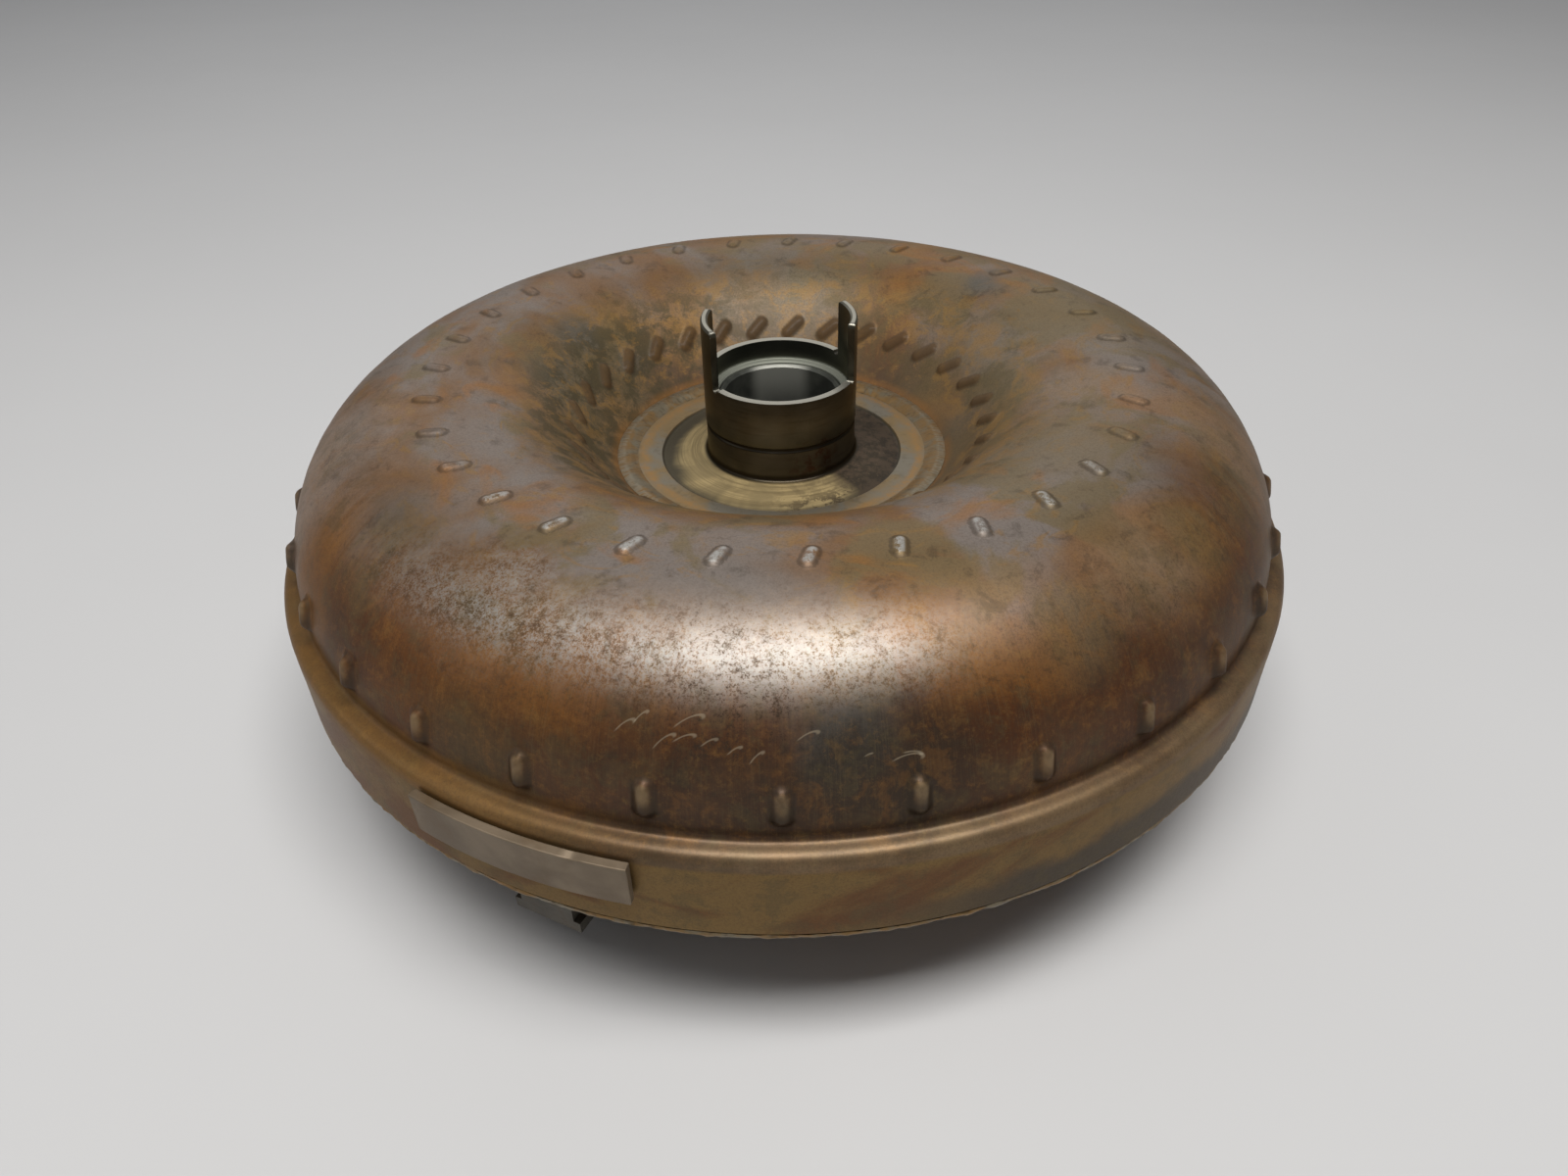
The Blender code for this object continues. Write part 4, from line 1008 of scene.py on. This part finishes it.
def build_drain_plugs():
    seat = COVER_FACE - 1.5
    for number, azimuth in enumerate(DRAIN_AZIMUTHS, start=1):
        outline = [(0.0, 25.2), (3.6, 25.2), (4.0, 24.8), (4.0, seat), (6.5, seat)]
        outline += arc((5.6, seat - 3.4), (0.9, 0.9), 0, -90, 5)
        outline += [(0.0, seat - 4.3)]
        plug = turned_solid(f"drain_plug_{number}_turned", outline, 48)
        loop = [polar(3.0, 60.0 * corner) for corner in range(6)]
        cut(plug, extruded("hex_socket", loop, seat - 8, seat - 1.5))
        dress(placed(plug, DRAIN_R, azimuth), "zinc_plated", [f"drain_plug_{number}"])
        ring = [(4.5, COVER_FACE - 0.3), (7.4, COVER_FACE - 0.3), (7.6, COVER_FACE - 0.5), (7.6, COVER_FACE - 1.0),
                (7.4, COVER_FACE - 1.2), (4.5, COVER_FACE - 1.2)]
        washer = placed(turned(f"drain_plug_washer_{number}_turned", ring, 48), DRAIN_R, azimuth)
        dress(washer, "copper", [f"drain_plug_washer_{number}"])


# ---- everything inside
def dress_cad_nodes():
    """The pieces inside keep their CAD shape and get a worked finish and eased edges."""
    lug_finish = worked_metal("lug_oxide", (0.06, 0.054, 0.044), (0.125, 0.112, 0.09), 0.5, 0.5, patch=70.0,
                              pits=0.2, grit=0.2, tint=(0.1, 0.065, 0.04))
    for name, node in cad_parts.items():
        if node.hide_render:
            continue
        finish = lug_finish if "lug" in name else FINISHES[slot_by_name(name)]
        if not node.material_slots:
            node.data.materials.append(finish)
        for material_slot in node.material_slots:
            material_slot.material = finish
        if not node.modifiers:
            bevelled(node, 0.2, 1, 40.0)


def slot_by_name(name):
    words = (("blade", "blade_steel"), ("turbine_shell", "blade_steel"), ("stator_wheel", "cast_aluminium"),
             ("snap", "spring_steel"), ("spring", "spring_steel"),
             ("cover_thrust", "phenolic"), ("plate", "machined_steel"), ("rivet", "machined_steel"),
             ("turbine_hub", "machined_steel"))
    return next((slot for word, slot in words if word in name), "bearing_steel")


# ---- stage, light and camera
def build_floor():
    mesh = bpy.data.meshes.new("studio_floor")
    shape = bmesh.new()
    bmesh.ops.create_grid(shape, x_segments=24, y_segments=24, size=14.0)
    shape.to_mesh(mesh)
    shape.free()
    floor = finish_mesh("studio_floor", mesh)
    floor.location.z = -0.0002
    look = Look("floor_pale")
    look.surface(look.mix(look.noise(3.0, detail=3), "floor_dark", "floor_light"), 0.0,
                 look.add(0.6, look.times(look.noise(40.0), 0.1)))
    look.relief((look.noise(600.0), 0.05, 0.05))
    mesh.materials.append(look.material)


def build_world():
    """Soft studio surround: pale at the horizon, darker half way up, pale overhead."""
    world = bpy.data.worlds.new("studio")
    bpy.context.scene.world = world
    world.use_nodes = True
    tree = world.node_tree
    coordinates = tree.nodes.new("ShaderNodeTexCoord")
    split = tree.nodes.new("ShaderNodeSeparateXYZ")
    tree.links.new(coordinates.outputs["Generated"], split.inputs[0])
    ramp = tree.nodes.new("ShaderNodeValToRGB")
    tree.links.new(split.outputs["Z"], ramp.inputs[0])
    while len(ramp.color_ramp.elements) < len(SURROUND):
        ramp.color_ramp.elements.new(0.5)
    for element, (position, value) in zip(ramp.color_ramp.elements, SURROUND):
        element.position = position
        element.color = (value, value, value * SURROUND_BLUE, 1.0)
    background = tree.nodes["Background"]
    tree.links.new(ramp.outputs[0], background.inputs["Color"])
    background.inputs["Strength"].default_value = 1.0


def build_lights():
    """Large soft rectangles, so that the steel mirrors broad, smooth areas."""
    for name, place, width, depth, power, colour in LIGHTS:
        data = bpy.data.lights.new(name, "AREA")
        data.shape = "RECTANGLE"
        data.size, data.size_y = width, depth
        data.energy = power
        data.color = colour
        lamp = linked(name, data)
        lamp.location = place
        lamp.rotation_euler = (Vector(LIGHT_AIM) - Vector(place)).to_track_quat("-Z", "Y").to_euler()


def build_camera():
    data = bpy.data.cameras.new("photo_view")
    data.sensor_fit = "HORIZONTAL"
    data.sensor_width = CAMERA_SENSOR
    data.lens = CAMERA_LENS
    data.clip_start, data.clip_end = 0.01, 100.0
    camera = linked("photo_view", data)
    tilt = Matrix.Rotation(radians(CAMERA_YAW), 4, "Z") @ Matrix.Rotation(radians(90 + CAMERA_PITCH), 4, "X")
    roll = Matrix.Rotation(radians(CAMERA_ROLL), 4, "Z")
    camera.matrix_world = Matrix.Translation(CAMERA_PLACE) @ tilt @ roll
    bpy.context.scene.camera = camera


FINISHES = finishes()
build_shell()
build_hub()
build_hub_details()
build_cover()
build_rim_weld()
build_pilot()
build_lugs()
build_weight()
build_drain_plugs()
dress_cad_nodes()
build_floor()
build_world()
build_lights()
build_camera()
bpy.context.scene.view_settings.view_transform = "Standard"
